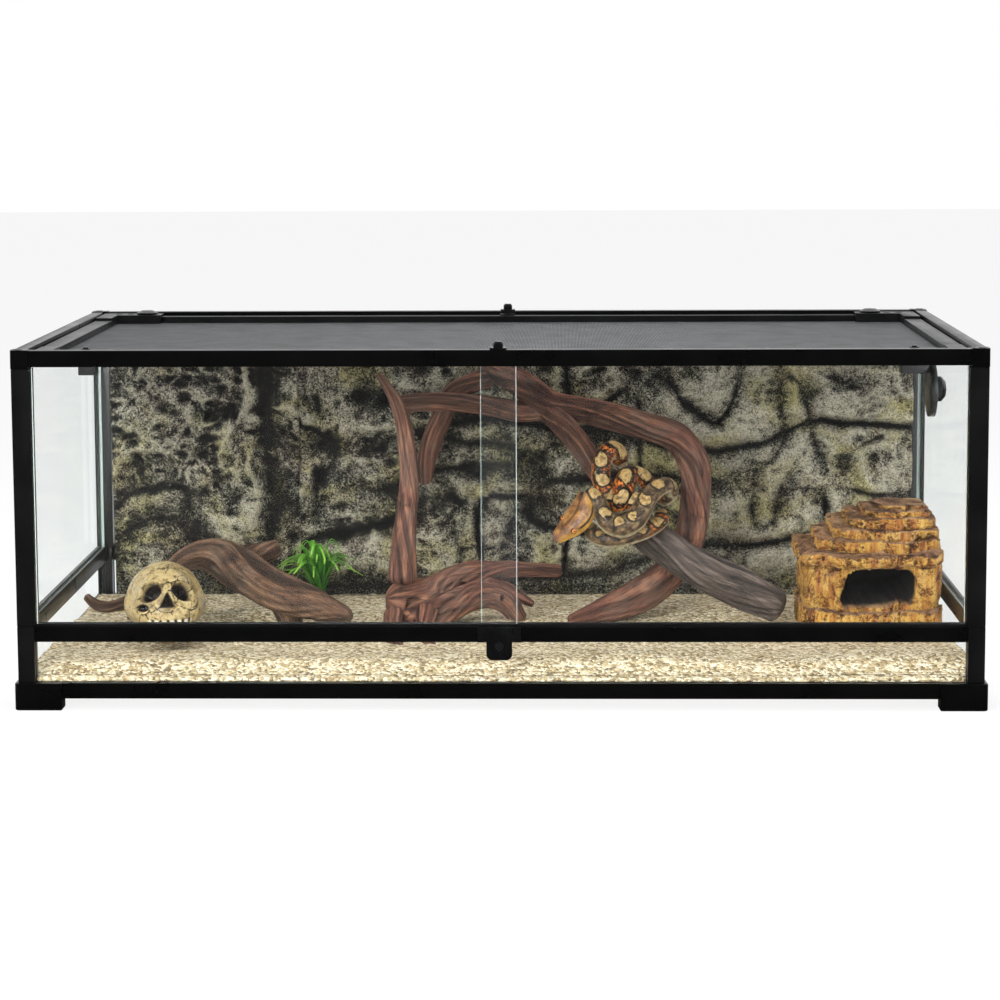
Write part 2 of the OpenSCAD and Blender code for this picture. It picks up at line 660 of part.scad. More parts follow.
// sand banked up against a piece of furnishing
module drift(x, y, r, h) translate([x, y, sand_z - 6]) hull() {
  cylinder(r = r, h = 1, $fn = 14);
  translate([0, 0, h + 5]) cylinder(r = r * 0.4, h = 1, $fn = 10);
}
module sand_bed() color([0.85, 0.78, 0.64]) difference() {
  union() {
    drift(-hx + skull_from_left, -130, 70, 5);
    drift(-hx + root_from_left + 160, -40, 60, 7);
    drift(-hx + root_from_left - 90, 10, 60, 6);
    drift(-hx + plant_from_left, 140, 50, 6);
    drift(-140, -90, 60, 6);
    drift(155, 30, 70, 8);
    drift(36, 0, 50, 4);
    drift(cave_x - 120, -30, 60, 6);
    translate([-low_x + 1, -low_y, floor_top + 0.1])
      cube([2 * low_x - 2, low_y + panel_face - 1, base_top + 1 - floor_top]);
    relief_block(-glass_x + 0.3, glass_x - 0.3, -glass_y + 0.3, panel_face - 1, 36, 15, base_top + 0.1,
      function(x, y) dune(x, y));
  }
  for (s = [-1, 1]) flip_x(s) translate([low_x - 0.3, -hy, 0]) cube([lower_post, lower_post + 0.3, sill_top]);
}

// ---- driftwood; heights are above the sand ----
module root_shape() {
  limb([[-157, -60, 55, 5], [-139, -50, 39, 8], [-111, -30, 38, 9], [-81, 20, 48, 11], [-37, 60, 83, 18],
    [3, 70, 87, 27], [41, 50, 71, 28], [101, 0, 49, 24], [160, -40, 35, 19], [203, -70, 27, 9]]);
  limb([[17, 75, 78, 19], [56, 95, 83, 16], [91, 105, 94, 10]]);
  limb([[-81, 20, 48, 10], [-100, 30, 18, 9], [-112, 34, -6, 8]]);
  limb([[101, 0, 49, 20], [110, 10, 18, 17], [116, 20, -6, 15]]);
}
module driftwood_root() color([0.45, 0.27, 0.2]) translate([-hx + root_from_left, 0, sand_z]) root_shape();
module driftwood_log() color(wood_brown) translate([0, 0, sand_z]) {
  limb([[-158, -60, 50, 25], [-131, -45, 48, 28], [-102, -20, 50, 25], [-67, 0, 65, 21], [-26, 15, 73, 17],
    [20, 30, 75, 12], [79, 42, 71, 10]]);
  limb([[-142, -54, 30, 25], [-100, -42, 32, 23], [-71, -30, 38, 19], [-31, -10, 48, 16], [0, 0, 38, 14],
    [23, 5, 6, 9]]);
  limb([[-31, -5, 61, 13], [5, 6, 48, 11], [40, 14, 28, 4]]);
  limb([[-146, -70, 35, 17], [-148, -110, 8, 10], [-129, -140, -6, 6]]);
  limb([[-106, -60, 35, 15], [-104, -110, 8, 9], [-85, -145, -6, 6]]);
  limb([[-170, -10, 351, 4], [-147, -15, 316, 9], [-134, -20, 276, 11], [-129, -30, 209, 13],
    [-135, -40, 128, 16], [-138, -45, 66, 19]]);
}
module driftwood_arch() color(wood_brown) translate([0, 0, sand_z]) {
  limb([[-38, 195, 349, 13], [18, 180, 318, 19], [61, 150, 291, 18], [103, 140, 284, 16], [151, 125, 276, 17],
    [197, 108, 264, 18], [239, 95, 249, 20], [262, 85, 218, 20], [265, 75, 178, 19], [261, 65, 137, 20],
    [248, 58, 96, 21], [222, 52, 61, 23], [185, 44, 35, 24], [133, 34, 14, 17], [87, 24, 2, 8]]);
  limb([[61, 150, 284, 16], [93, 110, 252, 16], [118, 75, 222, 15.5], [136, 45, 196, 14]]);
  limb([[-154, 160, 290, 11.5], [-93, 165, 292, 12.5], [-35, 172, 287, 13], [18, 168, 277, 15],
    [56, 158, 280, 14]]);
  limb([[-19, 192, 325, 14], [-73, 200, 303, 14], [-95, 205, 262, 15], [-112, 208, 218, 15],
    [-123, 212, 168, 13]]);
}
module driftwood_limb() color(wood_grey) translate([0, 0, sand_z])
  limb([[142, 26, 192, 20], [186, 10, 136, 24], [220, 0, 110, 26], [267, -10, 81, 27],
    [limb_foot_x - 48, -20, 53, 26], [limb_foot_x, -28, 29, 21]], 3);

// ---- snake, coiled where the grey limb leans on the arch ----
module snake() color([0.72, 0.55, 0.3]) translate([0, 0, sand_z]) {
  r = snake_r;
  // body from the neck, once round in front, then up over the limb
  limb([[110, -40, 189, r * 0.75], [121, -42, 189, r * 0.83], [129, -46, 179, r * 0.92],
    [134, -50, 165, r * 1.04], [144, -53, 152, r * 1.17], [161, -54, 148, r * 1.25],
    [177, -52, 157, r * 1.25], [187, -46, 171, r * 1.17],
    [196, -38, 186, r * 1.08], [209, -26, 196, r], [221, -12, 198, r * 0.92], [228, 2, 187, r * 0.88],
    [220, 12, 176, r * 0.83], [204, 14, 186, r * 0.92], [188, 8, 205, r * 1.08], [172, 0, 209, r * 1.21],
    [163, -12, 196, r * 1.25], [162, -20, 181, r * 1.21], [152, -16, 172, r * 1.12], [143, -8, 184, r * 1.08],
    [134, -4, 200, r * 1.08], [132, 0, 217, r * 1.08], [136, 4, 233, r * 1.04], [145, 10, 244, r * 1.04],
    [156, 18, 238, r], [160, 26, 221, r * 0.96]], 2);
  // coil lying underneath, and the one between it and the limb
  limb([[117, -14, 144, r * 0.75], [121, -32, 134, r * 0.83], [136, -42, 129, r * 0.92], [157, -44, 131, r],
    [179, -40, 136, r], [198, -30, 142, r * 0.96], [214, -16, 151, r * 0.83], [213, 0, 160, r * 0.75]], 2);
  limb([[125, -10, 181, r * 0.92], [145, -7, 176, r * 1.08], [166, -20, 175, r], [185, -22, 178, r * 0.95],
    [196, -20, 170, r * 0.83]], 2);
  // head, flat and pointing down to the left
  hull() {
    ball([104, -38, 184, 9], 12);
    ball([88, -38, 160, 10], 12);
    ball([110, -44, 154, 10], 12);
  }
  hull() {
    ball([88, -38, 160, 10], 12);
    ball([110, -44, 154, 10], 12);
    ball([71, -44, 133, 5.5], 12);
    ball([79, -50, 130, 5.5], 12);
  }
}

// ---- skull hide ----
module skull_hide() color([0.8, 0.7, 0.48])
  translate([-hx + skull_from_left, -135, sand_z]) rotate([0, 0, 12]) difference() {
  union() {
    hull() { ball([-4, 26, 66, 46], 16); ball([4, 34, 62, 44], 16); ball([0, 0, 80, 31], 14); }
    hull() {
      ball([0, -8, 80, 30], 12);
      ball([-30, -16, 58, 13], 10);
      ball([30, -16, 58, 13], 10);
      ball([0, -14, 40, 22], 10);
    }
    for (s = [-1, 1]) {
      hull() { ball([s * 37, -18, 60, 10], 8); ball([s * 43, 12, 56, 9], 8); }
      hull() { ball([s * 12, -28, 97, 7], 8); ball([s * 33, -17, 91, 9], 8); }
      hull() { ball([s * 20, -8, 34, 13], 8); ball([s * 17, -12, 10, 11], 8); ball([s * 24, 12, 2, 9], 8); }
    }
    hull() { ball([0, -36, 88, 5], 8); ball([0, -40, 78, 4], 8); }
    for (i = [-3:3]) hull() {
      ball([i * 7.5, -28 + abs(i) * 2, 40, 4], 8);
      ball([i * 7.5, -29 + abs(i) * 2, 28, 3.6], 8);
    }
  }
  for (s = [-1, 1]) translate([s * 20.5, -38, 83]) sphere(r = 15, $fn = 16);
  hull() { ball([0, -42, 74, 3], 8); ball([-5, -42, 60, 4.5], 8); ball([5, -42, 60, 4.5], 8); }
  translate([0, 26, 40]) sphere(r = 32, $fn = 14);
  translate([0, 20, 14]) sphere(r = 26, $fn = 14);
}

// ---- cave: ledges of rock on each other. Each is shares of half the width to its left,
// right, front and back, and the share of the height to its top ----
cave_ledges = [[1.03, 0.94, 1.12, 0.95, 0.235], [1, 0.94, 1, 0.95, 0.59], [1.08, 0.94, 1.1, 0.93, 0.68],
  [0.8, 0.94, 0.72, 0.9, 0.765], [0.58, 0.93, 0.6, 0.86, 0.84], [0.36, 0.89, 0.46, 0.8, 0.915],
  [0.12, 0.82, 0.32, 0.7, 0.965], [-0.14, 0.76, 0.18, 0.6, 1]];
cave_sides = 24;
mouth_shift = 4;
module cave_ledge(k) {
  e = cave_ledges[k] * cave_w / 2;
  bottom = k == 0 ? -2 : cave_ledges[k - 1][4] * cave_h - eps;
  half = [(e[0] + e[1]) / 2, (e[2] + e[3]) / 2];
  translate([(e[1] - e[0]) / 2, (e[3] - e[2]) / 2, bottom])
    linear_extrude(cave_ledges[k][4] * cave_h - bottom) polygon([for (i = [0:cave_sides - 1])
      let (a = i * 360 / cave_sides, c = cos(a), s = sin(a),
        r = pow(pow(abs(c) / half[0], 6) + pow(abs(s) / half[1], 6), -1 / 6) * (1 - 0.07 * hash(i, k)))
      [r * c, r * s]]);
}
module cave_hide() color([0.72, 0.55, 0.33]) translate([cave_x, 0, sand_z]) difference() {
  for (k = [0:len(cave_ledges) - 1]) cave_ledge(k);
  // hollow, open to the front
  hull() for (x = [-1, 1], z = [mouth_r, mouth_h - mouth_r])
    translate([mouth_shift + x * (mouth_w / 2 - mouth_r), -cave_w * 0.7, mouth_sill + z])
      rod_y(mouth_r, cave_w);
}

// ---- grass tuft ----
module blade(a, reach, h) rotate([0, 0, a]) for (k = [0:2]) hull() for (t = [k / 3, (k + 1) / 3])
  translate([reach * t, 0, h * sin(150 * t) / sin(105)]) rotate([0, 60 * t, 0])
    cube([1.2, 5.5 * (1.1 - t), 1.2], center = true);
module grass_tuft() color([0.2, 0.42, 0.15]) translate([-hx + plant_from_left, 140, sand_z]) {
  translate([0, 0, -4]) cylinder(r = 16, h = 12, $fn = 12);
  translate([0, 0, 6]) for (i = [0:21]) blade(i * 137.5, 38 + 30 * hash(i, 1), 52 + 36 * hash(i, 2));
}

foot(-1, -1);  // foot_front_left
foot(1, -1);  // foot_front_right
foot(-1, 1);  // foot_rear_left
foot(1, 1);  // foot_rear_right
base_front(-1);  // base_rail_front
base_front(1);  // base_rail_rear
base_side(-1);  // base_rail_left
base_side(1);  // base_rail_right
floor_pane();
lower_corner_posts();
lower_front_pane();
lower_panes();
mid_rail_front();
mid_rail_rear();
mid_side(-1);  // mid_rail_left
mid_side(1);  // mid_rail_right
upper_post(-1, -1);  // upper_post_front_left
upper_post(1, -1);  // upper_post_front_right
upper_post(-1, 1);  // upper_post_rear_left
upper_post(1, 1);  // upper_post_rear_right
side_pane_left();
side_pane_right();
rear_pane();
top_front(-1);  // top_rail_front
top_front(1);  // top_rail_rear
top_side(-1);  // top_rail_left
top_side(1);  // top_rail_right
top_corner_caps();
lower_door_track();
upper_door_track();
door(-1);  // door_left
door(1);  // door_right
lock_bracket();
lock_barrel();
lid_long_bars();
lid_side_bars();
lid_corners();
lid_mesh();
lid_clip_plates();
latch_slider(-1);  // latch_slider_left
latch_slider(1);  // latch_slider_right
thumb_screw(-1);  // thumb_screw_front
thumb_screw(1);  // thumb_screw_rear
cable_shutter(-1);  // cable_shutter_left
cable_shutter(1);  // cable_shutter_right
side_port_flange();
side_port_cap();
side_top_brackets();
background_left();
background_right();
sand_bed();
driftwood_root();
driftwood_log();
driftwood_arch();
driftwood_limb();
skull_hide();
cave_hide();
grass_tuft();
snake();
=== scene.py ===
"""Reptile terrarium: a slotted glass tank with sliding doors, a screen lid and a furnished interior."""
from __future__ import annotations

import json
import logging
import math
from dataclasses import dataclass, field
from enum import Enum
from typing import Sequence

import bmesh
import bpy
import numpy as np
from mathutils import Matrix, Vector

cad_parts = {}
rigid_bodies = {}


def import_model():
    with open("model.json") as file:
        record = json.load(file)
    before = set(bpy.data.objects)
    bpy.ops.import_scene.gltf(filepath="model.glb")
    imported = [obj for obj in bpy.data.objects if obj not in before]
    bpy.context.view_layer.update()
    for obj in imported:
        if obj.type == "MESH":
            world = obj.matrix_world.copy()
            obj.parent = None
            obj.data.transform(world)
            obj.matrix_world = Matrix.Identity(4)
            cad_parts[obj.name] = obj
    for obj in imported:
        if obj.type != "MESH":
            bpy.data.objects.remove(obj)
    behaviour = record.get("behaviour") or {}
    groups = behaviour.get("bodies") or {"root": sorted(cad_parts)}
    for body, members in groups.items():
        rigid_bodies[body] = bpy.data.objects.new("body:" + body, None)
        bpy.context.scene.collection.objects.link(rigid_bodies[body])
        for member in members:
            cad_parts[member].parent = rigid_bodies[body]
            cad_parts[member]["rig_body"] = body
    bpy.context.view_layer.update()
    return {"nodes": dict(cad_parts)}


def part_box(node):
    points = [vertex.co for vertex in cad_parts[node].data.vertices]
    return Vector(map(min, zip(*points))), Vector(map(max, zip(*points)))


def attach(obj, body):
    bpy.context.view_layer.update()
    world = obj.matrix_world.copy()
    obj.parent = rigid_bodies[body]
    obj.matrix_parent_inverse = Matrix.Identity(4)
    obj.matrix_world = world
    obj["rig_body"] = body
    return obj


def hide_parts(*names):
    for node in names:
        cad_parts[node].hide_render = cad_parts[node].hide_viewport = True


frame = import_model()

log = logging.getLogger("terrarium")
MM = 0.001
Array = np.ndarray
Surface = tuple[Array, Array, Array, dict[str, Array]]      # points, quads, UV and named values
SAND_Z = 45.5 * MM


# ---------------------------------------------------------------- shared maths
def rgb(code: str) -> tuple[float, float, float, float]:
    """Linear colour of an sRGB hex value: c / 12.92 below 0.04045, else ((c + 0.055) / 1.055) ** 2.4."""
    parts = [int(code[i:i + 2], 16) / 255 for i in (1, 3, 5)]
    return (*[c / 12.92 if c <= 0.04045 else ((c + 0.055) / 1.055) ** 2.4 for c in parts], 1.0)


def fade(t: Array) -> Array:
    """Smooth step of t between 0 and 1: t^2 (3 - 2 t)."""
    return t * t * (3 - 2 * t)


def smooth(low: float, high: float, x: Array) -> Array:
    """Smooth step of x from low to high."""
    return fade(np.clip((x - low) / (high - low), 0, 1))


def turn_hash(i: Array, j: Array) -> Array:
    """Repeatable value from 0 to 1 for a lattice corner: the fraction of a tall sine of both numbers."""
    v = np.sin(np.radians(i * 127.1 + j * 311.7 + 7)) * 4375.85
    return v - np.floor(v)


def plane_noise(x: Array, y: Array) -> Array:
    """Value noise on a plane, blended between the four lattice corners round each point.

    Args:
        x: Places along the first axis, in lattice cells.
        y: Places along the second axis.
    Returns:
        One value a point, from 0 to 1.
    """
    i, j = np.floor(x), np.floor(y)
    u, v = fade(x - i), fade(y - j)
    a, b = turn_hash(i, j), turn_hash(i + 1, j)
    c, d = turn_hash(i, j + 1), turn_hash(i + 1, j + 1)
    return a + (b - a) * u + (c - a) * v + (a - b - c + d) * u * v


def cell_hash(i: Array, j: Array, k: Array, seed: int) -> Array:
    """Repeatable value from -1 to 1 for a lattice corner in space, by integer mixing.

    Args:
        i: Corner numbers along X.
        j: Corner numbers along Y.
        k: Corner numbers along Z.
        seed: Picks the pattern.
    Returns:
        One value a corner.
    """
    n = (i.astype(np.int64) * 73856093) ^ (j.astype(np.int64) * 19349663) ^ (k.astype(np.int64) * 83492791)
    n = (n ^ (seed * 2654435761)) & 0xFFFFFFFF
    n = ((n ^ (n >> 13)) * 1274126177) & 0xFFFFFFFF
    n = ((n ^ (n >> 16)) * 2246822519) & 0xFFFFFFFF
    return (n & 0xFFFFFF) / 0x7FFFFF - 1


def noise(p: Array, size: float | Sequence[float], seed: int = 1, octaves: int = 3) -> Array:
    """Fractal value noise in space, about -1 to 1: octaves at half the size and half the height each.

    Args:
        p: Points, one a row, in metres.
        size: Size of the largest features, in metres, one value or one per axis.
        seed: Picks the pattern.
        octaves: Number of layers.
    Returns:
        One value a point.
    """
    total, height = np.zeros(len(p)), 1.0
    for octave in range(octaves):
        q = p / np.asarray(size, float) * 2 ** octave + 17.3 * octave
        c = np.floor(q)
        f = fade(q - c)
        value = np.zeros(len(p))
        for corner in range(8):
            d = np.array([corner & 1, corner >> 1 & 1, corner >> 2 & 1])
            w = np.prod(np.where(d, f, 1 - f), axis=1)
            g = c + d
            value += w * cell_hash(g[:, 0], g[:, 1], g[:, 2], seed + octave)
        total += value * height
        height *= 0.5
    return total / (2 - 2 ** (1 - octaves))


def spline(points: Array, steps: int) -> Array:
    """Catmull-Rom curve through the points, with steps samples in each span; any extra columns follow too.

    Args:
        points: Points, one a row.
        steps: Samples in each span.
    Returns:
        The curve's points, one a row.
    """
    p = np.vstack([points[:1], points, points[-1:]])
    t = np.arange(steps)[:, None, None] / steps
    a, b, c, d = p[:-3], p[1:-2], p[2:-1], p[3:]
    q = 0.5 * (2 * b + (c - a) * t + (2 * a - 5 * b + 4 * c - d) * t ** 2 + (3 * b - a - 3 * c + d) * t ** 3)
    return np.vstack([q.transpose(1, 0, 2).reshape(-1, points.shape[1]), points[-1:]])


def unit(v: Array) -> Array:
    """Vectors scaled to length 1."""
    return v / np.linalg.norm(v, axis=-1, keepdims=True)


def run_length(curve: Array) -> Array:
    """Length along a curve from its first point to each of its points."""
    return np.concatenate([[0], np.cumsum(np.linalg.norm(np.diff(curve, axis=0), axis=1))])


def round_end(t: Array) -> Array:
    """Share of the full radius at t from 0 to 1 into a rounded end: sqrt(1 - (1 - t)^2), never quite 0."""
    return np.sqrt(1 - (1 - np.clip(t, 0, 1)) ** 2) * 0.98 + 0.02


def grid_faces(rows: int, cols: int, wrap: bool) -> Array:
    """Quads of a grid of points, rows by cols, joined round the columns if wrap is true.

    Args:
        rows: Number of rows.
        cols: Number of columns.
        wrap: Joins the last column to the first.
    Returns:
        Four corner numbers a face.
    """
    r = np.arange(rows - 1)[:, None]
    c = np.arange(cols if wrap else cols - 1)[None, :]
    n = (c + 1) % cols
    quads = np.stack([r * cols + c, r * cols + n, (r + 1) * cols + n, (r + 1) * cols + c], axis=-1)
    return quads.reshape(-1, 4)


def block(face: Array, rows: int, cols: int, axis: int, level: float) -> tuple[Array, list]:
    """Closes a grid of points to a solid: its rim goes straight to a level, where a fan closes it.

    Args:
        face: Points of the grid, rows by cols, one a row.
        rows: Number of rows.
        cols: Number of columns.
        axis: Axis that the rim runs along.
        level: Place of the far side on that axis, in metres.
    Returns:
        Points and faces.
    """
    ring = np.concatenate([np.arange(cols), np.arange(1, rows) * cols + cols - 1,
                           (rows - 1) * cols + np.arange(cols - 2, -1, -1),
                           np.arange(rows - 2, 0, -1) * cols])
    rim, middle = face[ring], (face.min(0) + face.max(0)) / 2
    rim[:, axis] = middle[axis] = level
    m, k = len(face), np.arange(len(ring))
    n = (k + 1) % len(ring)
    side = np.stack([m + k, m + n, ring[n], ring[k]], axis=-1)
    fan = np.stack([m + n, m + k, np.full(len(ring), m + len(ring))], axis=-1)
    faces = grid_faces(rows, cols, False).tolist() + side.tolist() + fan.tolist()
    return np.vstack([face, rim, middle]), faces


def make_piece(name: str, points: Array, faces: Array | list, uv: Array | None = None,
               smooth_shade: bool = True, values: dict[str, Array] | None = None) -> bpy.types.Object:
    """Makes a mesh object at the origin.

    Args:
        name: Object name.
        points: Points in metres, one a row.
        faces: Corner numbers of each face.
        uv: Optional texture place of each point.
        smooth_shade: Shades the faces smooth.
        values: Optional named values, one for each point.
    Returns:
        The object, linked into the scene.
    """
    mesh = bpy.data.meshes.new(name)
    mesh.from_pydata(points.tolist(), [], faces if isinstance(faces, list) else faces.tolist())
    mesh.polygons.foreach_set("use_smooth", np.full(len(mesh.polygons), smooth_shade))
    if uv is not None:
        corners = np.zeros(len(mesh.loops), np.int32)
        mesh.loops.foreach_get("vertex_index", corners)
        mesh.uv_layers.new(name="UVMap").data.foreach_set("uv", uv[corners].astype(np.float32).ravel())
    for key, value in (values or {}).items():
        mesh.attributes.new(key, "FLOAT", "POINT").data.foreach_set("value", value.astype(np.float32))
    mesh.update()
    piece = bpy.data.objects.new(name, mesh)
    bpy.context.scene.collection.objects.link(piece)
    return piece


def join_surfaces(name: str, parts: Sequence[Surface]) -> bpy.types.Object:
    """Makes one object of several surfaces, with their poles closed.

    Args:
        name: Object name.
        parts: The surfaces.
    Returns:
        The object.
    """
    points, quads, uv, values = zip(*parts)
    starts = np.cumsum([0] + [len(p) for p in points])
    quads = np.vstack([q + start for q, start in zip(quads, starts)])
    values = {key: np.concatenate([v[key] for v in values]) for key in values[0]}
    piece = make_piece(name, np.vstack(points), quads, np.vstack(uv), values=values)
    merge_doubles(piece)
    return piece


def turned(profile: Sequence[tuple[float, float]], sides: int) -> tuple[Array, Array]:
    """Surface of revolution about Z: (r cos a, r sin a, z) for each (r, z) of the profile.

    Args:
        profile: Radii and heights in metres, from the bottom axis point to the top one, ends at radius 0.
        sides: Number of steps round.
    Returns:
        Points and quads.
    """
    r, z = np.array(profile, float).T
    a = np.arange(sides) / sides * 2 * math.pi
    points = np.stack([r[:, None] * np.cos(a), r[:, None] * np.sin(a), np.repeat(z[:, None], sides, axis=1)],
                      axis=-1)
    return points.reshape(-1, 3), grid_faces(len(r), sides, True)


def merge_doubles(piece: bpy.types.Object) -> None:
    """Joins points closer than a hundredth of a millimetre, as at poles, and turns the faces outwards.

    Args:
        piece: The piece.
    """
    bm = bmesh.new()
    bm.from_mesh(piece.data)
    bmesh.ops.remove_doubles(bm, verts=bm.verts, dist=0.01 * MM)
    bmesh.ops.recalc_face_normals(bm, faces=bm.faces)
    bm.to_mesh(piece.data)
    bm.free()


def stand_in(piece: bpy.types.Object, material: bpy.types.Material, nodes: Sequence[str]) -> None:
    """Dresses a piece, lets it stand for CAD nodes and lets it move with their body.

    Args:
        piece: The piece.
        material: Its finish.
        nodes: Nodes that it stands for, all on one body.
    """
    piece.data.materials.clear()
    piece.data.materials.append(material)
    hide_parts(*nodes)
    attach(piece, frame["nodes"][nodes[0]]["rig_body"])
    log.info("%s stands for %s, %d faces", piece.name, ", ".join(nodes), len(piece.data.polygons))


# ---------------------------------------------------------------- finishes
def new_material(name: str) -> tuple[bpy.types.Material, bpy.types.NodeTree, bpy.types.Node, bpy.types.Node]:
    """An empty node material: the material, its tree, its Principled node and its output.

    Args:
        name: Its name.
    Returns:
        The material, its tree, its Principled node and its output node.
    """
    material = bpy.data.materials.new(name)
    material.use_nodes = True
    tree = material.node_tree
    return material, tree, tree.nodes["Principled BSDF"], tree.nodes["Material Output"]


def feed(tree: bpy.types.NodeTree, node: bpy.types.Node, *values, **named) -> None:
    """Links or sets inputs of one node.

    Args:
        tree: The tree it is in.
        node: The node.
        values: Its first inputs in order: numbers, colours, sockets, or nodes that give their first output.
        named: Further inputs by name, with _ for a space.
    """
    inputs = dict(enumerate(values)) | {name.replace("_", " "): value for name, value in named.items()}
    for key, value in inputs.items():
        if isinstance(value, bpy.types.Node):
            value = value.outputs[0]
        if isinstance(value, bpy.types.NodeSocket):
            tree.links.new(value, node.inputs[key])
        else:
            node.inputs[key].default_value = value


def put(tree: bpy.types.NodeTree, kind: str, *values, stops: Sequence[tuple[float, str]] = (),
        **named) -> bpy.types.Node:
    """Adds one node with its settings and links.

    Args:
        tree: The tree it goes into.
        kind: Node type without its ShaderNode prefix.
        values: Its first inputs in order.
        stops: Places from 0 to 1 and hex colours of a colour ramp.
        named: Inputs where the name starts with a capital, with _ for a space, and settings otherwise.
    Returns:
        The node.
    """
    node = tree.nodes.new("ShaderNode" + kind)
    for key in [name for name in named if name[0].islower()]:
        setattr(node, key, named.pop(key))
    feed(tree, node, *values, **named)
    for i, (place, code) in enumerate(stops):
        bar = node.color_ramp.elements
        element = bar[i] if i < len(bar) else bar.new(1.0)
        element.position, element.color = place, rgb(code)
    return node


def object_place(tree: bpy.types.NodeTree, squeeze: tuple[float, float, float] = (1, 1, 1)) -> bpy.types.Node:
    """Place on the object in metres, each axis scaled by squeeze."""
    return put(tree, "Mapping", put(tree, "TexCoord").outputs["Object"], Scale=squeeze)


@dataclass(frozen=True)
class MouldedAbs:
    """Injection-moulded ABS with a fine satin texture: dark, with a soft sheen, pale at grazing angles."""
    name: str
    colour: str
    worn: str
    roughness: float = 0.3
    grain: float = 0.9 * MM      # drawn coarser than the real spark texture, so that it shows

    def make(self) -> bpy.types.Material:
        """Makes the material.

        Returns:
            The material.
        """
        material, tree, shader, _ = new_material(self.name)
        place = object_place(tree)
        cloud = put(tree, "TexNoise", Vector=place, Scale=1 / (60 * MM), Detail=4, Roughness=0.55)
        colour = put(tree, "ValToRGB", cloud, stops=[(0.35, self.colour), (0.75, self.worn)])
        fine = put(tree, "TexNoise", Vector=place, Scale=1 / self.grain, Detail=2, Roughness=0.55)
        rough = put(tree, "MapRange", Value=cloud, From_Min=0.3, From_Max=0.7, To_Min=self.roughness - 0.05,
                    To_Max=self.roughness + 0.08)
        bump = put(tree, "Bump", Height=fine, Distance=0.03 * MM, Strength=0.35)
        feed(tree, shader, Base_Color=colour, Roughness=rough, IOR=1.53, Normal=bump)
        return material


@dataclass(frozen=True)
class FloatGlass:
    """Clear float glass: polished faces with a faint mirror sheen, and pale ground edges."""
    name: str
    across: str                  # axis through the thickness, or the axes of a set of panes
    tint: str = "#fafdfc"
    sheen: float = 0.22          # weight of the mirror coat

    def make(self) -> bpy.types.Material:
        """Makes the material; the thin pane bends no ray, and lamps shine through it by a Transparent shader.

        Returns:
            The material.
        """
        material, tree, shader, output = new_material(self.name)
        smear = put(tree, "TexNoise", Vector=object_place(tree, (1, 1, 0.3)), Scale=1 / (90 * MM), Detail=2,
                    Roughness=0.55)
        colour = put(tree, "ValToRGB", smear, stops=[(0.3, self.tint), (0.8, "#ffffff")])
        feed(tree, shader, Base_Color=colour, Roughness=0.0, IOR=1.0, Transmission_Weight=1.0,
             Coat_Weight=self.sheen, Coat_Roughness=0.0, Coat_IOR=1.5)
        normal = put(tree, "SeparateXYZ", Vector=put(tree, "NewGeometry").outputs["Normal"])
        facing = put(tree, "Math", normal.outputs[self.across[0]], operation="ABSOLUTE")
        for axis in self.across[1:]:
            facing = put(tree, "Math", facing, put(tree, "Math", normal.outputs[axis], operation="ABSOLUTE"),
                         operation="MAXIMUM")
        edge = put(tree, "ValToRGB", facing, stops=[(0.93, "#d8d8d8"), (0.985, "#000000")])
        ground = put(tree, "BsdfPrincipled", Base_Color=rgb("#dfeee9"), Roughness=0.35)
        pane = put(tree, "MixShader", edge, shader, ground)
        clear = put(tree, "BsdfTransparent", Color=rgb("#fcfefd"))
        lamp_ray = put(tree, "LightPath").outputs["Is Shadow Ray"]
        feed(tree, output, Surface=put(tree, "MixShader", lamp_ray, pane, clear))
        return material


@dataclass(frozen=True)
class WovenScreen:
    """Powder-coated steel wire: dark grey with a satin sheen."""
    name: str = "powder_coated_wire"

    def make(self) -> bpy.types.Material:
        """Makes the material.

        Returns:
            The material.
        """
        material, tree, shader, _ = new_material(self.name)
        cloud = put(tree, "TexNoise", Vector=object_place(tree), Scale=1 / (40 * MM), Detail=3,
                    Roughness=0.55)
        colour = put(tree, "ValToRGB", cloud, stops=[(0.3, "#565859"), (0.7, "#6a6d6f")])
        feed(tree, shader, Base_Color=colour, Roughness=0.42, Metallic=0.3)
        return material


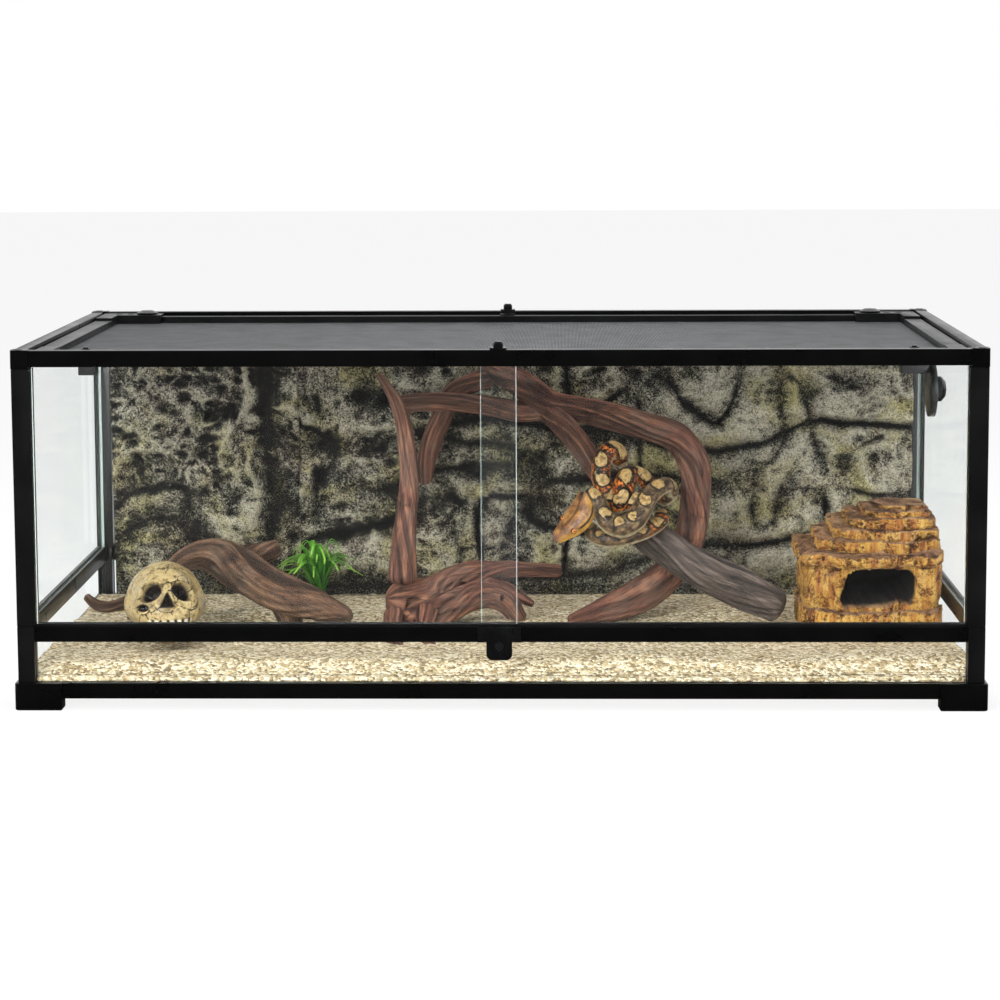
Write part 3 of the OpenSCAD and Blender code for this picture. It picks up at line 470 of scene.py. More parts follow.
@dataclass(frozen=True)
class PaintedRock:
    """Hand-painted resin rock: olive and moss faces, near-black cracks of wash and painted shade, pale
    dry-brush and painted highlight.
    """
    name: str
    # darkest colour, in the cracks and hollows: dark wash deepened by painted shade
    crack: str = "#0e0d0c"
    face: str = "#5a5448"
    grey: str = "#5f6465"
    pink: str = "#85675c"
    moss: str = "#85804f"
    pale: str = "#e6dfc8"

    def make(self) -> bpy.types.Material:
        """Makes the material; by the mesh's crest value it paints shade into the hollows and brushes what
        stands out pale, partly as a painted highlight.

        Returns:
            The material.
        """
        material, tree, shader, _ = new_material(self.name)
        place = object_place(tree)
        crest = put(tree, "Attribute", attribute_name="crest").outputs["Fac"]
        grey = put(tree, "TexNoise", Vector=place, Scale=1 / (90 * MM), Detail=4, Roughness=0.6,
                   Distortion=0.6)
        moss = put(tree, "TexNoise", Vector=put(tree, "Mapping", Vector=place, Location=(3.1, 0, 1.7)),
                   Scale=1 / (100 * MM), Detail=5, Roughness=0.65, Distortion=0.8)
        pink = put(tree, "TexNoise", Vector=put(tree, "Mapping", Vector=place, Location=(7.1, 2, 5.7)),
                   Scale=1 / (80 * MM), Detail=4, Roughness=0.6, Distortion=0.7)
        curl = put(tree, "TexNoise", Vector=place, Scale=1 / (8 * MM), Detail=3, Roughness=0.6,
                   Distortion=1.8)
        ridge = put(tree, "ValToRGB", curl, stops=[(0.42, "#000000"), (0.48, "#ffffff"), (0.52, "#ffffff"),
                                                   (0.58, "#000000")])
        fine = put(tree, "TexNoise", Vector=place, Scale=1 / (2.6 * MM), Detail=4, Roughness=0.7,
                   Distortion=0.8)
        base = rgb(self.face)
        for patch, low, high, share, colour in ((grey, 0.45, 0.6, "#d0d0d0", self.grey),
                                                (pink, 0.48, 0.6, "#c0c0c0", self.pink),
                                                (moss, 0.48, 0.64, "#a8a8a8", self.moss)):
            mask = put(tree, "ValToRGB", patch, stops=[(low, "#000000"), (high, share)])
            base = put(tree, "MixRGB", mask, base, rgb(colour))
        # painted light: a ramp that grows towards the right of the tank
        right = put(tree, "Math", put(tree, "SeparateXYZ", Vector=place).outputs["X"], 0.5, operation="ADD")
        right = put(tree, "ValToRGB", right, stops=[(0.6, "#000000"), (0.85, "#ffffff")])
        fine = put(tree, "Math", fine, 0.22, operation="SUBTRACT")
        tone = put(tree, "Math", crest, 0.5, operation="MULTIPLY")
        # painted light: the panels get a little paler to the right, where more light falls on them
        for value, weight in ((ridge, 0.2), (fine, 0.75), (right, 0.13)):
            value = put(tree, "Math", value, weight, operation="MULTIPLY")
            tone = put(tree, "Math", tone, value, operation="ADD")
        # painted shade and highlight: low tone, in the hollows and cracks, darkens to the crack colour, and
        # high tone lightens
        shade = put(tree, "ValToRGB", tone, stops=[(0.36, self.crack), (0.46, "#3f3d39"), (0.57, "#b8b6b0"),
                                                   (0.7, "#ffffff")])
        base = put(tree, "MixRGB", 1.0, base, shade, blend_type="MULTIPLY")
        pale = put(tree, "MixRGB", put(tree, "ValToRGB", moss, stops=[(0.46, "#000000"), (0.64, "#ffffff")]),
                   rgb(self.pale), rgb("#d6cb90"))
        # pale dry-brush where the tone is high, partly a painted highlight on what stands out
        base = put(tree, "MixRGB", put(tree, "ValToRGB", tone, stops=[(0.54, "#000000"), (0.78, "#e8e8e8")]),
                   base, pale)
        wool = put(tree, "TexNoise", Vector=place, Scale=1 / (5 * MM), Detail=4, Roughness=0.7,
                   Distortion=2.0)
        wool = put(tree, "ValToRGB", wool, stops=[(0.38, "#4a4844"), (0.47, "#c4c2bc"), (0.54, "#ffffff")])
        base = put(tree, "MixRGB", 0.85, base, wool, blend_type="MULTIPLY")
        bump = put(tree, "Bump", Height=tone, Distance=5 * MM, Strength=1.0)
        feed(tree, shader, Base_Color=base, Roughness=0.82, Normal=bump)
        return material


@dataclass(frozen=True)
class QuartzSand:
    """Loose quartz sand, coarse and cream, with darker and whiter grains."""
    name: str = "quartz_sand"
    grain: float = 4.0 * MM      # real grain is about 2 mm, drawn coarser so that it shows

    def make(self) -> bpy.types.Material:
        """Makes the material.

        Returns:
            The material.
        """
        material, tree, shader, _ = new_material(self.name)
        place = object_place(tree)
        cells = put(tree, "TexVoronoi", Vector=place, Scale=1 / self.grain)
        split = put(tree, "SeparateColor", Color=cells.outputs["Color"])
        grains = put(tree, "ValToRGB", split.outputs[0], stops=[(0.05, "#3f301c"), (0.22, "#8f774f"),
                                                                (0.5, "#c2ad84"), (0.85, "#efe6cf")])
        cloud = put(tree, "TexNoise", Vector=place, Scale=1 / (35 * MM), Detail=4, Roughness=0.55)
        cloud = put(tree, "ValToRGB", cloud, stops=[(0.3, "#a8936c"), (0.7, "#dccdae")])
        clods = put(tree, "TexNoise", Vector=place, Scale=1 / (9 * MM), Detail=4, Roughness=0.55)
        lumps = put(tree, "Math", put(tree, "Math", clods, 1.6, operation="MULTIPLY"),
                    put(tree, "Math", 1.0, cells.outputs["Distance"], operation="SUBTRACT"), operation="ADD")
        bump = put(tree, "Bump", Height=lumps, Distance=3.0 * MM, Strength=1.0)
        feed(tree, shader, Base_Color=put(tree, "MixRGB", 0.3, grains, cloud), Roughness=0.9, Normal=bump)
        return material


@dataclass(frozen=True)
class Driftwood:
    """Sand-blasted driftwood: long open grain, pale ridges, and painted shade that darkens the furrows and
    goes near black in holes.
    """
    name: str
    dark: str
    mid: str
    light: str
    bare: str

    def make(self) -> bpy.types.Material:
        """Makes the material; the grain runs along the limb by the mesh's own UV map, in metres, and the deep
        value paints shade.

        Returns:
            The material.
        """
        material, tree, shader, _ = new_material(self.name)
        uv = put(tree, "UVMap", uv_map="UVMap")
        along = put(tree, "Mapping", Vector=uv, Scale=(1, 0.06, 1))
        wander = put(tree, "Mapping", Vector=uv, Scale=(1, 0.16, 1))
        deep = put(tree, "Attribute", attribute_name="deep").outputs["Fac"]
        grain = put(tree, "TexNoise", Vector=along, Scale=1 / (2.2 * MM), Detail=5, Roughness=0.66,
                    Distortion=0.9)
        bands = put(tree, "TexNoise", Vector=wander, Scale=1 / (14 * MM), Detail=5, Roughness=0.66,
                    Distortion=1.4)
        patches = put(tree, "TexNoise", Vector=object_place(tree), Scale=1 / (42 * MM), Detail=5,
                      Roughness=0.66, Distortion=0.7)
        base = put(tree, "ValToRGB", bands, stops=[(0.3, self.dark), (0.5, self.mid), (0.7, self.light)])
        worn = put(tree, "ValToRGB", patches, stops=[(0.47, "#000000"), (0.62, "#b0b0b0")])
        base = put(tree, "MixRGB", worn, base, rgb(self.bare))
        stain = put(tree, "ValToRGB", patches, stops=[(0.3, "#5a4a42"), (0.44, "#ffffff")])
        base = put(tree, "MixRGB", 0.8, base, stain, blend_type="MULTIPLY")
        lines = put(tree, "ValToRGB", grain, stops=[(0.34, "#3a3432"), (0.5, "#ffffff"), (0.68, "#ffffff")])
        base = put(tree, "MixRGB", 0.85, base, lines, blend_type="MULTIPLY")
        # painted shade: the deeper a point lies in a furrow, the darker, near black in the holes
        groove = put(tree, "ValToRGB", deep, stops=[(0.22, "#ffffff"), (0.5, "#a39c98"), (0.75, "#38302c"),
                                                    (1.0, "#0a0706")])
        base = put(tree, "MixRGB", 0.72, base, groove, blend_type="MULTIPLY")
        bands = put(tree, "Math", bands, 0.8, operation="MULTIPLY")
        height = put(tree, "Math", grain, bands, operation="ADD")
        bump = put(tree, "Bump", Height=height, Distance=2.6 * MM, Strength=1.0)
        feed(tree, shader, Base_Color=base, Roughness=0.68, Normal=bump)
        return material


@dataclass(frozen=True)
class CastResinBone:
    """Cast resin painted as old bone: ochre wash, fine dark cracks, near-black painted shade in the sockets,
    nose and tooth gaps.
    """
    name: str = "cast_resin_bone"

    def make(self) -> bpy.types.Material:
        """Makes the material.

        Returns:
            The material.
        """
        material, tree, shader, _ = new_material(self.name)
        place = object_place(tree)
        high = put(tree, "Attribute", attribute_name="height").outputs["Fac"]
        wash = put(tree, "TexNoise", Vector=place, Scale=1 / (24 * MM), Detail=5, Roughness=0.65,
                   Distortion=0.8)
        fine = put(tree, "TexNoise", Vector=place, Scale=1 / (5 * MM), Detail=4, Roughness=0.65,
                   Distortion=0.5)
        base = put(tree, "ValToRGB", wash, stops=[(0.32, "#54452c"), (0.43, "#85714a"), (0.54, "#ab9566"),
                                                  (0.62, "#9a8d78"), (0.7, "#75695c")])
        pits = put(tree, "ValToRGB", fine, stops=[(0.34, "#5c4a34"), (0.48, "#ffffff")])
        base = put(tree, "MixRGB", 0.8, base, pits, blend_type="MULTIPLY")
        lines = put(tree, "TexVoronoi", Vector=put(tree, "Mapping", Vector=place), Scale=1 / (17 * MM),
                    Randomness=1.0, feature="DISTANCE_TO_EDGE")
        torn = put(tree, "Math", fine, 0.2, operation="MULTIPLY")
        torn = put(tree, "Math", lines.outputs["Distance"], torn, operation="ADD")
        some = put(tree, "TexNoise", Vector=place, Scale=1 / (45 * MM), Detail=2, Roughness=0.55)
        some = put(tree, "ValToRGB", some, stops=[(0.44, "#000000"), (0.5, "#ffffff")])
        crack = put(tree, "ValToRGB", torn, stops=[(0.115, "#ffffff"), (0.14, "#000000")])
        crack = put(tree, "MixRGB", 1.0, crack, some, blend_type="MULTIPLY")
        base = put(tree, "MixRGB", crack, base, rgb("#1d140a"))
        tooth = put(tree, "Attribute", attribute_name="tooth").outputs["Fac"]
        base = put(tree, "MixRGB", put(tree, "ValToRGB", tooth, stops=[(0.55, "#000000"), (0.8, "#e0e0e0")]),
                   base, rgb("#d2cab6"))
        # painted shade: near black where the height value is low, in the sockets, the nose, the side hole and
        # between the teeth
        base = put(tree, "MixRGB", put(tree, "ValToRGB", high, stops=[(0.5, "#ffffff"), (0.88, "#000000")]),
                   base, rgb("#120907"))
        height = put(tree, "Math", fine, crack, operation="SUBTRACT")
        bump = put(tree, "Bump", Height=height, Distance=1.2 * MM, Strength=0.8)
        feed(tree, shader, Base_Color=base, Roughness=0.5, Normal=bump)
        return material


@dataclass(frozen=True)
class LayeredSandstone:
    """Cast sandstone in thin beds: ochre faces, brown and violet on top of each ledge."""
    name: str = "layered_sandstone"

    def make(self) -> bpy.types.Material:
        """Makes the material; what faces up is browner, and the mesh's hollow value paints shade, near black,
        into the mouth.

        Returns:
            The material.
        """
        material, tree, shader, _ = new_material(self.name)
        place = object_place(tree)
        crest = put(tree, "Attribute", attribute_name="crest").outputs["Fac"]
        streak = put(tree, "TexNoise", Vector=object_place(tree, (1, 1, 0.12)), Scale=1 / (8 * MM), Detail=4,
                     Roughness=0.6, Distortion=0.3)
        patch = put(tree, "TexNoise", Vector=place, Scale=1 / (46 * MM), Detail=4, Roughness=0.6,
                    Distortion=0.6)
        fine = put(tree, "TexNoise", Vector=place, Scale=1 / (3 * MM), Detail=4, Roughness=0.68,
                   Distortion=0.8)
        face = put(tree, "ValToRGB", streak, stops=[(0.3, "#86492a"), (0.42, "#ab7434"), (0.52, "#c09442"),
                                                    (0.62, "#cba85e"), (0.75, "#a86a48")])
        face = put(tree, "MixRGB", put(tree, "ValToRGB", patch, stops=[(0.5, "#000000"), (0.64, "#909090")]),
                   face, rgb("#8d5a45"))
        # what faces up takes the browner ledge colours
        up = put(tree, "SeparateXYZ", Vector=put(tree, "NewGeometry").outputs["Normal"]).outputs["Z"]
        top = put(tree, "ValToRGB", up, stops=[(0.22, "#000000"), (0.55, "#f0f0f0")])
        ledge = put(tree, "ValToRGB", patch, stops=[(0.36, "#5e4233"), (0.5, "#8a6850"), (0.64, "#a48662")])
        skin = put(tree, "MixRGB", top, face, ledge)
        # partly painted shade: darker in the dents, where crest is low, and partly mottled by fine noise
        rough = put(tree, "Math", put(tree, "Math", crest, 0.32, operation="MULTIPLY"),
                    put(tree, "Math", fine, 0.68, operation="MULTIPLY"), operation="ADD")
        rough = put(tree, "ValToRGB", rough, stops=[(0.38, "#4a3024"), (0.46, "#b09a88"), (0.54, "#ffffff")])
        skin = put(tree, "MixRGB", 1.0, skin, rough, blend_type="MULTIPLY")
        # painted shade: near black inside the cave's mouth
        hollow = put(tree, "Attribute", attribute_name="hollow").outputs["Fac"]
        hollow = put(tree, "ValToRGB", hollow, stops=[(0.02, "#000000"), (0.14, "#ffffff")])
        skin = put(tree, "MixRGB", hollow, skin, rgb("#070302"))
        streak = put(tree, "Math", streak, 1.5, operation="MULTIPLY")
        height = put(tree, "Math", fine, streak, operation="ADD")
        bump = put(tree, "Bump", Height=height, Distance=3 * MM, Strength=1.0)
        feed(tree, shader, Base_Color=skin, Roughness=0.85, Normal=bump)
        return material


@dataclass(frozen=True)
class MouldedLeaf:
    """Soft moulded polyethylene leaf: green, lighter at the tips, with a satin sheen."""
    name: str = "moulded_polyethylene_leaf"

    def make(self) -> bpy.types.Material:
        """Makes the material; the blade's own UV map lightens the tips.

        Returns:
            The material.
        """
        material, tree, shader, _ = new_material(self.name)
        split = put(tree, "SeparateXYZ", Vector=put(tree, "UVMap", uv_map="UVMap"))
        place = object_place(tree)
        cloud = put(tree, "TexNoise", Vector=place, Scale=1 / (18 * MM), Detail=3, Roughness=0.55)
        tone = put(tree, "Math", put(tree, "Math", split.outputs["Y"], 0.55, operation="MULTIPLY"),
                   put(tree, "Math", cloud, 0.45, operation="MULTIPLY"), operation="ADD")
        green = put(tree, "ValToRGB", tone, stops=[(0.15, "#0c2406"), (0.42, "#2b6414"), (0.65, "#579426"),
                                                   (0.92, "#a3c450")])
        feed(tree, shader, Base_Color=green, Roughness=0.42)
        return material


@dataclass(frozen=True)
class SnakeSkin:
    """Smooth snake scales: tan saddles with black borders, on grey-brown or on rust, cream at the belly."""
    name: str = "snake_scales"
    scale: float = 2.2 * MM
    spacing: float = 27 * MM         # from one saddle to the next
    saddle: tuple[float, float] = (10.5 * MM, 9 * MM)     # half its width round the body, half its length

    def make(self) -> bpy.types.Material:
        """Makes the material; u runs round the body from the back and v along it, both in metres.

        Returns:
            The material.
        """
        material, tree, shader, _ = new_material(self.name)
        uv = put(tree, "UVMap", uv_map="UVMap")
        split = put(tree, "SeparateXYZ", Vector=uv)
        vivid = put(tree, "Attribute", attribute_name="vivid").outputs["Fac"]
        wobble = put(tree, "TexNoise", Vector=uv, Scale=1 / (14 * MM), Detail=4, Roughness=0.6,
                     Distortion=0.5)
        wobble = put(tree, "Math", wobble, 0.5, operation="SUBTRACT")
        # place in saddles along the body, bent a little, then measured from the nearest saddle's middle
        turns = put(tree, "Math", split.outputs["Y"], self.spacing, operation="DIVIDE")
        bend = put(tree, "Math", wobble, 0.5, operation="MULTIPLY")
        turns = put(tree, "Math", turns, bend, operation="ADD")
        along = put(tree, "Math", put(tree, "Math", turns, operation="FRACT"), 0.5, operation="SUBTRACT")
        along = put(tree, "Math", along, self.spacing / self.saddle[1], operation="MULTIPLY")
        across = put(tree, "Math", split.outputs["X"], self.saddle[0], operation="DIVIDE")
        out = put(tree, "Math", put(tree, "Math", along, along, operation="MULTIPLY"),
                  put(tree, "Math", across, across, operation="MULTIPLY"), operation="ADD")
        out = put(tree, "Math", out, operation="SQRT")
        out = put(tree, "Math", out, put(tree, "Math", wobble, 2.2, operation="MULTIPLY"), operation="ADD")
        large = put(tree, "Math", vivid, 0.26, operation="MULTIPLY")
        large = put(tree, "Math", 1.1, large, operation="SUBTRACT")
        out = put(tree, "Math", out, large, operation="MULTIPLY")
        flecks = put(tree, "TexNoise", Vector=uv, Scale=1 / (4 * MM), Detail=3, Roughness=0.6, Distortion=0.4)
        calm = put(tree, "TexNoise", Vector=uv, Scale=1 / (9 * MM), Detail=3, Roughness=0.55)
        calm = put(tree, "ValToRGB", calm, stops=[(0.38, "#241a12"), (0.5, "#54402d"), (0.68, "#8a7350")])
        rust = put(tree, "ValToRGB", flecks, stops=[(0.47, "#0d0908"), (0.53, "#a4501c"), (0.64, "#d08030")])
        ground = put(tree, "MixRGB", vivid, calm, rust)
        border = put(tree, "ValToRGB", put(tree, "Math", out, 0.5, operation="MULTIPLY"),
                     stops=[(0.54, "#ffffff"), (0.64, "#000000")])
        edge = put(tree, "MixRGB", vivid, rgb("#1d1510"), rgb("#0a0706"))
        skin = put(tree, "MixRGB", border, ground, edge)
        tan = put(tree, "ValToRGB", flecks, stops=[(0.3, "#7d6138"), (0.6, "#b49561")])
        tan = put(tree, "MixRGB", put(tree, "ValToRGB", out, stops=[(0.16, "#d0d0d0"), (0.36, "#000000")]),
                  tan, rgb("#4a3422"))
        skin = put(tree, "MixRGB", put(tree, "ValToRGB", out, stops=[(0.8, "#ffffff"), (0.86, "#000000")]),
                   skin, tan)
        belly = put(tree, "Attribute", attribute_name="belly").outputs["Fac"]
        pale = put(tree, "ValToRGB", flecks, stops=[(0.36, "#6a5e48"), (0.5, "#b8ab8c")])
        skin = put(tree, "MixRGB", put(tree, "ValToRGB", belly, stops=[(0.44, "#000000"), (0.52, "#ffffff")]),
                   skin, pale)
        cells = put(tree, "TexVoronoi", Vector=uv, Scale=1 / self.scale)
        cells = cells.outputs["Distance"]
        scales = put(tree, "ValToRGB", cells, stops=[(0.2, "#ffffff"), (0.7, "#707070")])
        skin = put(tree, "MixRGB", 0.35, skin, scales, blend_type="MULTIPLY")
        height = put(tree, "Math", 1.0, cells, operation="SUBTRACT")
        bump = put(tree, "Bump", Height=height, Distance=0.4 * MM, Strength=0.6)
        feed(tree, shader, Base_Color=skin, Roughness=0.42, Specular_IOR_Level=0.3, Normal=bump)
        return material


@dataclass(frozen=True)
class SnakeHead:
    """Smooth head scales: orange-brown on top, golden at the jaw, mauve on the snout, with dark stripes."""
    name: str = "snake_head_scales"

    def make(self) -> bpy.types.Material:
        """Makes the material; the mesh's mark, gold and snout values say where each colour lies.

        Returns:
            The material.
        """
        material, tree, shader, _ = new_material(self.name)
        place = object_place(tree)
        cloud = put(tree, "TexNoise", Vector=place, Scale=1 / (12 * MM), Detail=4, Roughness=0.6,
                    Distortion=0.4)
        gold, snout, mark = (put(tree, "Attribute", attribute_name=name).outputs["Fac"]
                             for name in ("gold", "snout", "mark"))
        top = put(tree, "ValToRGB", cloud, stops=[(0.36, "#4e3019"), (0.5, "#85592f"), (0.64, "#a67c44")])
        low = put(tree, "ValToRGB", cloud, stops=[(0.3, "#9a6c28"), (0.6, "#c4963e")])
        base = put(tree, "MixRGB", gold, top, low)
        plain = put(tree, "ValToRGB", gold, stops=[(0.3, "#ffffff"), (0.7, "#000000")])
        snout = put(tree, "MixRGB", 1.0, snout, plain, blend_type="MULTIPLY")
        base = put(tree, "MixRGB", snout, base, rgb("#6e4a42"))
        base = put(tree, "MixRGB", mark, base, rgb("#160c07"))
        cells = put(tree, "TexVoronoi", Vector=place, Scale=1 / (2.4 * MM))
        cells = cells.outputs["Distance"]
        scales = put(tree, "ValToRGB", cells, stops=[(0.2, "#ffffff"), (0.7, "#6a5a4a")])
        base = put(tree, "MixRGB", 0.3, base, scales, blend_type="MULTIPLY")
        height = put(tree, "Math", 1.0, cells, operation="SUBTRACT")
        bump = put(tree, "Bump", Height=height, Distance=0.3 * MM, Strength=0.6)
        feed(tree, shader, Base_Color=base, Roughness=0.35, Normal=bump)
        return material


@dataclass(frozen=True)
class EyeLens:
    """Polished snake eye: an orange iris with a dark slit."""
    name: str = "snake_eye"

    def make(self) -> bpy.types.Material:
        """Makes the material; the mesh's slit value grows outwards from the middle of the iris.

        Returns:
            The material.
        """
        material, tree, shader, _ = new_material(self.name)
        slit = put(tree, "Attribute", attribute_name="slit").outputs["Fac"]
        iris = put(tree, "ValToRGB", slit, stops=[(0.3, "#0a0604"), (0.38, "#d99a4a"), (0.6, "#c06a2a"),
                                                  (0.72, "#140a06")])
        feed(tree, shader, Base_Color=iris, Roughness=0.08)
        return material


@dataclass(frozen=True)
class TurnedSteel:
    """Zinc-plated turned steel: grey, with a fine grain."""
    name: str = "turned_zinc_plated_steel"

    def make(self) -> bpy.types.Material:
        """Makes the material.

        Returns:
            The material.
        """
        material, tree, shader, _ = new_material(self.name)
        place = object_place(tree)
        cloud = put(tree, "TexNoise", Vector=place, Scale=1 / (2 * MM), Detail=3, Roughness=0.55)
        fine = put(tree, "TexNoise", Vector=place, Scale=1 / (0.4 * MM), Detail=2, Roughness=0.55)
        colour = put(tree, "ValToRGB", cloud, stops=[(0.3, "#83868a"), (0.7, "#b9bcc0")])
        bump = put(tree, "Bump", Height=fine, Distance=0.02 * MM, Strength=0.4)
        feed(tree, shader, Base_Color=colour, Metallic=1.0, Roughness=0.28, Normal=bump)
        return material


@dataclass
class Finishes:
    """The materials of the enclosure, made once."""
    frame_abs: bpy.types.Material = field(init=False)
    post_abs: bpy.types.Material = field(init=False)
    hardware: bpy.types.Material = field(init=False)
    glass: dict[str, bpy.types.Material] = field(init=False)
    screen: bpy.types.Material = field(init=False)
    steel: bpy.types.Material = field(init=False)

    def __post_init__(self) -> None:
        """Makes the materials that several sub-assemblies share."""
        self.frame_abs = MouldedAbs("moulded_abs_black", "#040404", "#080808").make()
        self.post_abs = MouldedAbs("extruded_abs_charcoal", "#0c0c0d", "#141415", 0.34).make()
        self.hardware = MouldedAbs("moulded_nylon_black", "#0a0a0b", "#121213", 0.26, 0.5 * MM).make()
        self.glass = {axis: FloatGlass("float_glass_across_" + axis.lower(), axis).make()
                      for axis in ("X", "Y", "Z", "XY")}
        self.screen = WovenScreen().make()
        self.steel = TurnedSteel().make()


# ---------------------------------------------------------------- enclosure
@dataclass
class Enclosure:
    """Frame, glass, tracks and lid: solids whose shape is right, given rounded edges and a finish."""
    finishes: Finishes
    edge: float = 0.9 * MM
    fine_edge: float = 0.4 * MM
    glass_edge: float = 0.35 * MM
    door_edge: float = 0.9 * MM
    wire: float = 0.5 * MM
    wire_pitch: float = 1.9 * MM

    def soften(self, node: str, width: float) -> None:
        """Rounds a node's sharp edges by the given width, with its flat triangles joined first.

        Args:
            node: Name of the node.
            width: Width of the rounding, in metres.
        """
        piece = frame["nodes"][node]
        weld = piece.modifiers.new("weld", "WELD")
        weld.merge_threshold = 0.005 * MM
        flat = piece.modifiers.new("flat", "DECIMATE")
        flat.decimate_type, flat.angle_limit = "DISSOLVE", math.radians(1)
        bevel = piece.modifiers.new("bevel", "BEVEL")
        bevel.width, bevel.segments, bevel.limit_method = width, 2, "ANGLE"
        bevel.angle_limit, bevel.harden_normals = math.radians(35), True

    def dress(self, material: bpy.types.Material, width: float, *nodes: str, flat: bool = False) -> None:
        """Gives nodes a material and softened edges.

        Args:
            material: The finish.
            width: Width of the rounding, in metres.
            flat: Keeps the faces plane to the eye, as a pane's are.
            nodes: Names of the nodes.
        """
        for node in nodes:
            mesh = frame["nodes"][node].data
            mesh.materials.clear()
            mesh.materials.append(material)
            mesh.polygons.foreach_set("use_smooth", np.full(len(mesh.polygons), not flat))
            self.soften(node, width)
            log.info("%s dressed in %s", node, material.name)

    def build(self) -> None:
        """Dresses the frame, the panes and the lid."""
        f = self.finishes
        corners = [a + b for a in ("front_", "rear_") for b in ("left", "right")]
        sides = ("front", "rear", "left", "right")
        self.dress(f.frame_abs, 1.6 * MM, *["foot_" + c for c in corners])
        self.dress(f.frame_abs, self.edge, *["base_rail_" + s for s in sides],
                   *["mid_rail_" + s for s in sides], *["top_rail_" + s for s in sides], "top_corner_caps",
                   "side_top_brackets")
        self.dress(f.post_abs, self.edge, "lower_corner_posts", *["upper_post_" + c for c in corners])
        self.dress(f.post_abs, self.fine_edge, "lower_door_track", "upper_door_track")
        self.dress(f.post_abs, self.edge, "lid_long_bars", "lid_side_bars", "lid_corners")
        self.dress(f.hardware, self.fine_edge, "lid_clip_plates", "lock_bracket", "latch_slider_left",
                   "latch_slider_right", "side_port_flange", "cable_shutter_left", "cable_shutter_right",
                   "side_port_cap", "thumb_screw_front", "thumb_screw_rear")
        self.dress(f.glass["Z"], self.glass_edge, "floor_pane", flat=True)
        self.dress(f.glass["X"], self.glass_edge, "side_pane_left", "side_pane_right", flat=True)
        self.dress(f.glass["Y"], self.glass_edge, "lower_front_pane", "rear_pane", flat=True)
        self.dress(f.glass["XY"], self.glass_edge, "lower_panes", flat=True)
        self.dress(f.glass["Y"], self.door_edge, "door_left", flat=True)
        self.dress(f.glass["Y"], self.glass_edge, "door_right", flat=True)
        self.dress(f.steel, 0.2 * MM, "lock_barrel")
        self.weave(f.screen)

    def weave(self, material: bpy.types.Material) -> None:
        """Lays the lid's screen wire by wire: square wires along X, crossed by wires along Y on top.

        Args:
            material: Its finish.
        """
        node = frame["nodes"]["lid_mesh"]
        spots = np.array([node.matrix_world @ Vector(corner) for corner in node.bound_box])
        low, high = spots.min(0), spots.max(0)
        corners = np.array([[0, 0, 0], [0, 1, 0], [0, 1, 1], [0, 0, 1], [1, 0, 0], [1, 1, 0], [1, 1, 1],
                            [1, 0, 1]])
        sides = np.array([[0, 3, 2, 1], [4, 5, 6, 7], [0, 4, 7, 3], [1, 2, 6, 5], [0, 1, 5, 4], [3, 7, 6, 2]])
        points, faces, start = [], [], 0
        for along, across in ((0, 1), (1, 0)):
            count = round((high[across] - low[across]) / self.wire_pitch)
            middle = low[across] + (np.arange(count) + 0.5) * self.wire_pitch
            wires = np.zeros((count, 8, 3))
            wires[:, :, along] = np.where(corners[:, 0], high[along], low[along])
            wires[:, :, across] = middle[:, None] + (corners[:, 1] - 0.5) * self.wire
            wires[:, :, 2] = (low[2] + high[2]) / 2 + (corners[:, 2] - 0.5 + (along - 0.5) * 0.9) * self.wire
            quads = sides if along == 0 else sides[:, ::-1]
            faces.append((quads + 8 * np.arange(count)[:, None, None] + start).reshape(-1, 4))
            points.append(wires.reshape(-1, 3))
            start += 8 * count
        piece = make_piece("lid_screen_wires", np.vstack(points), np.vstack(faces), smooth_shade=False)
        stand_in(piece, material, ["lid_mesh"])


# ---------------------------------------------------------------- background
class PanelStyle(Enum):
    """How a panel's rock is split: its long and short cracks' sizes along X, Y and Z in metres, and width."""
    RIDGED = ((0.085, 1, 0.34), (0.13, 1, 0.16), 0.55)
    BLOCKY = ((0.34, 1, 0.085), (0.13, 1, 0.12), 0.24)


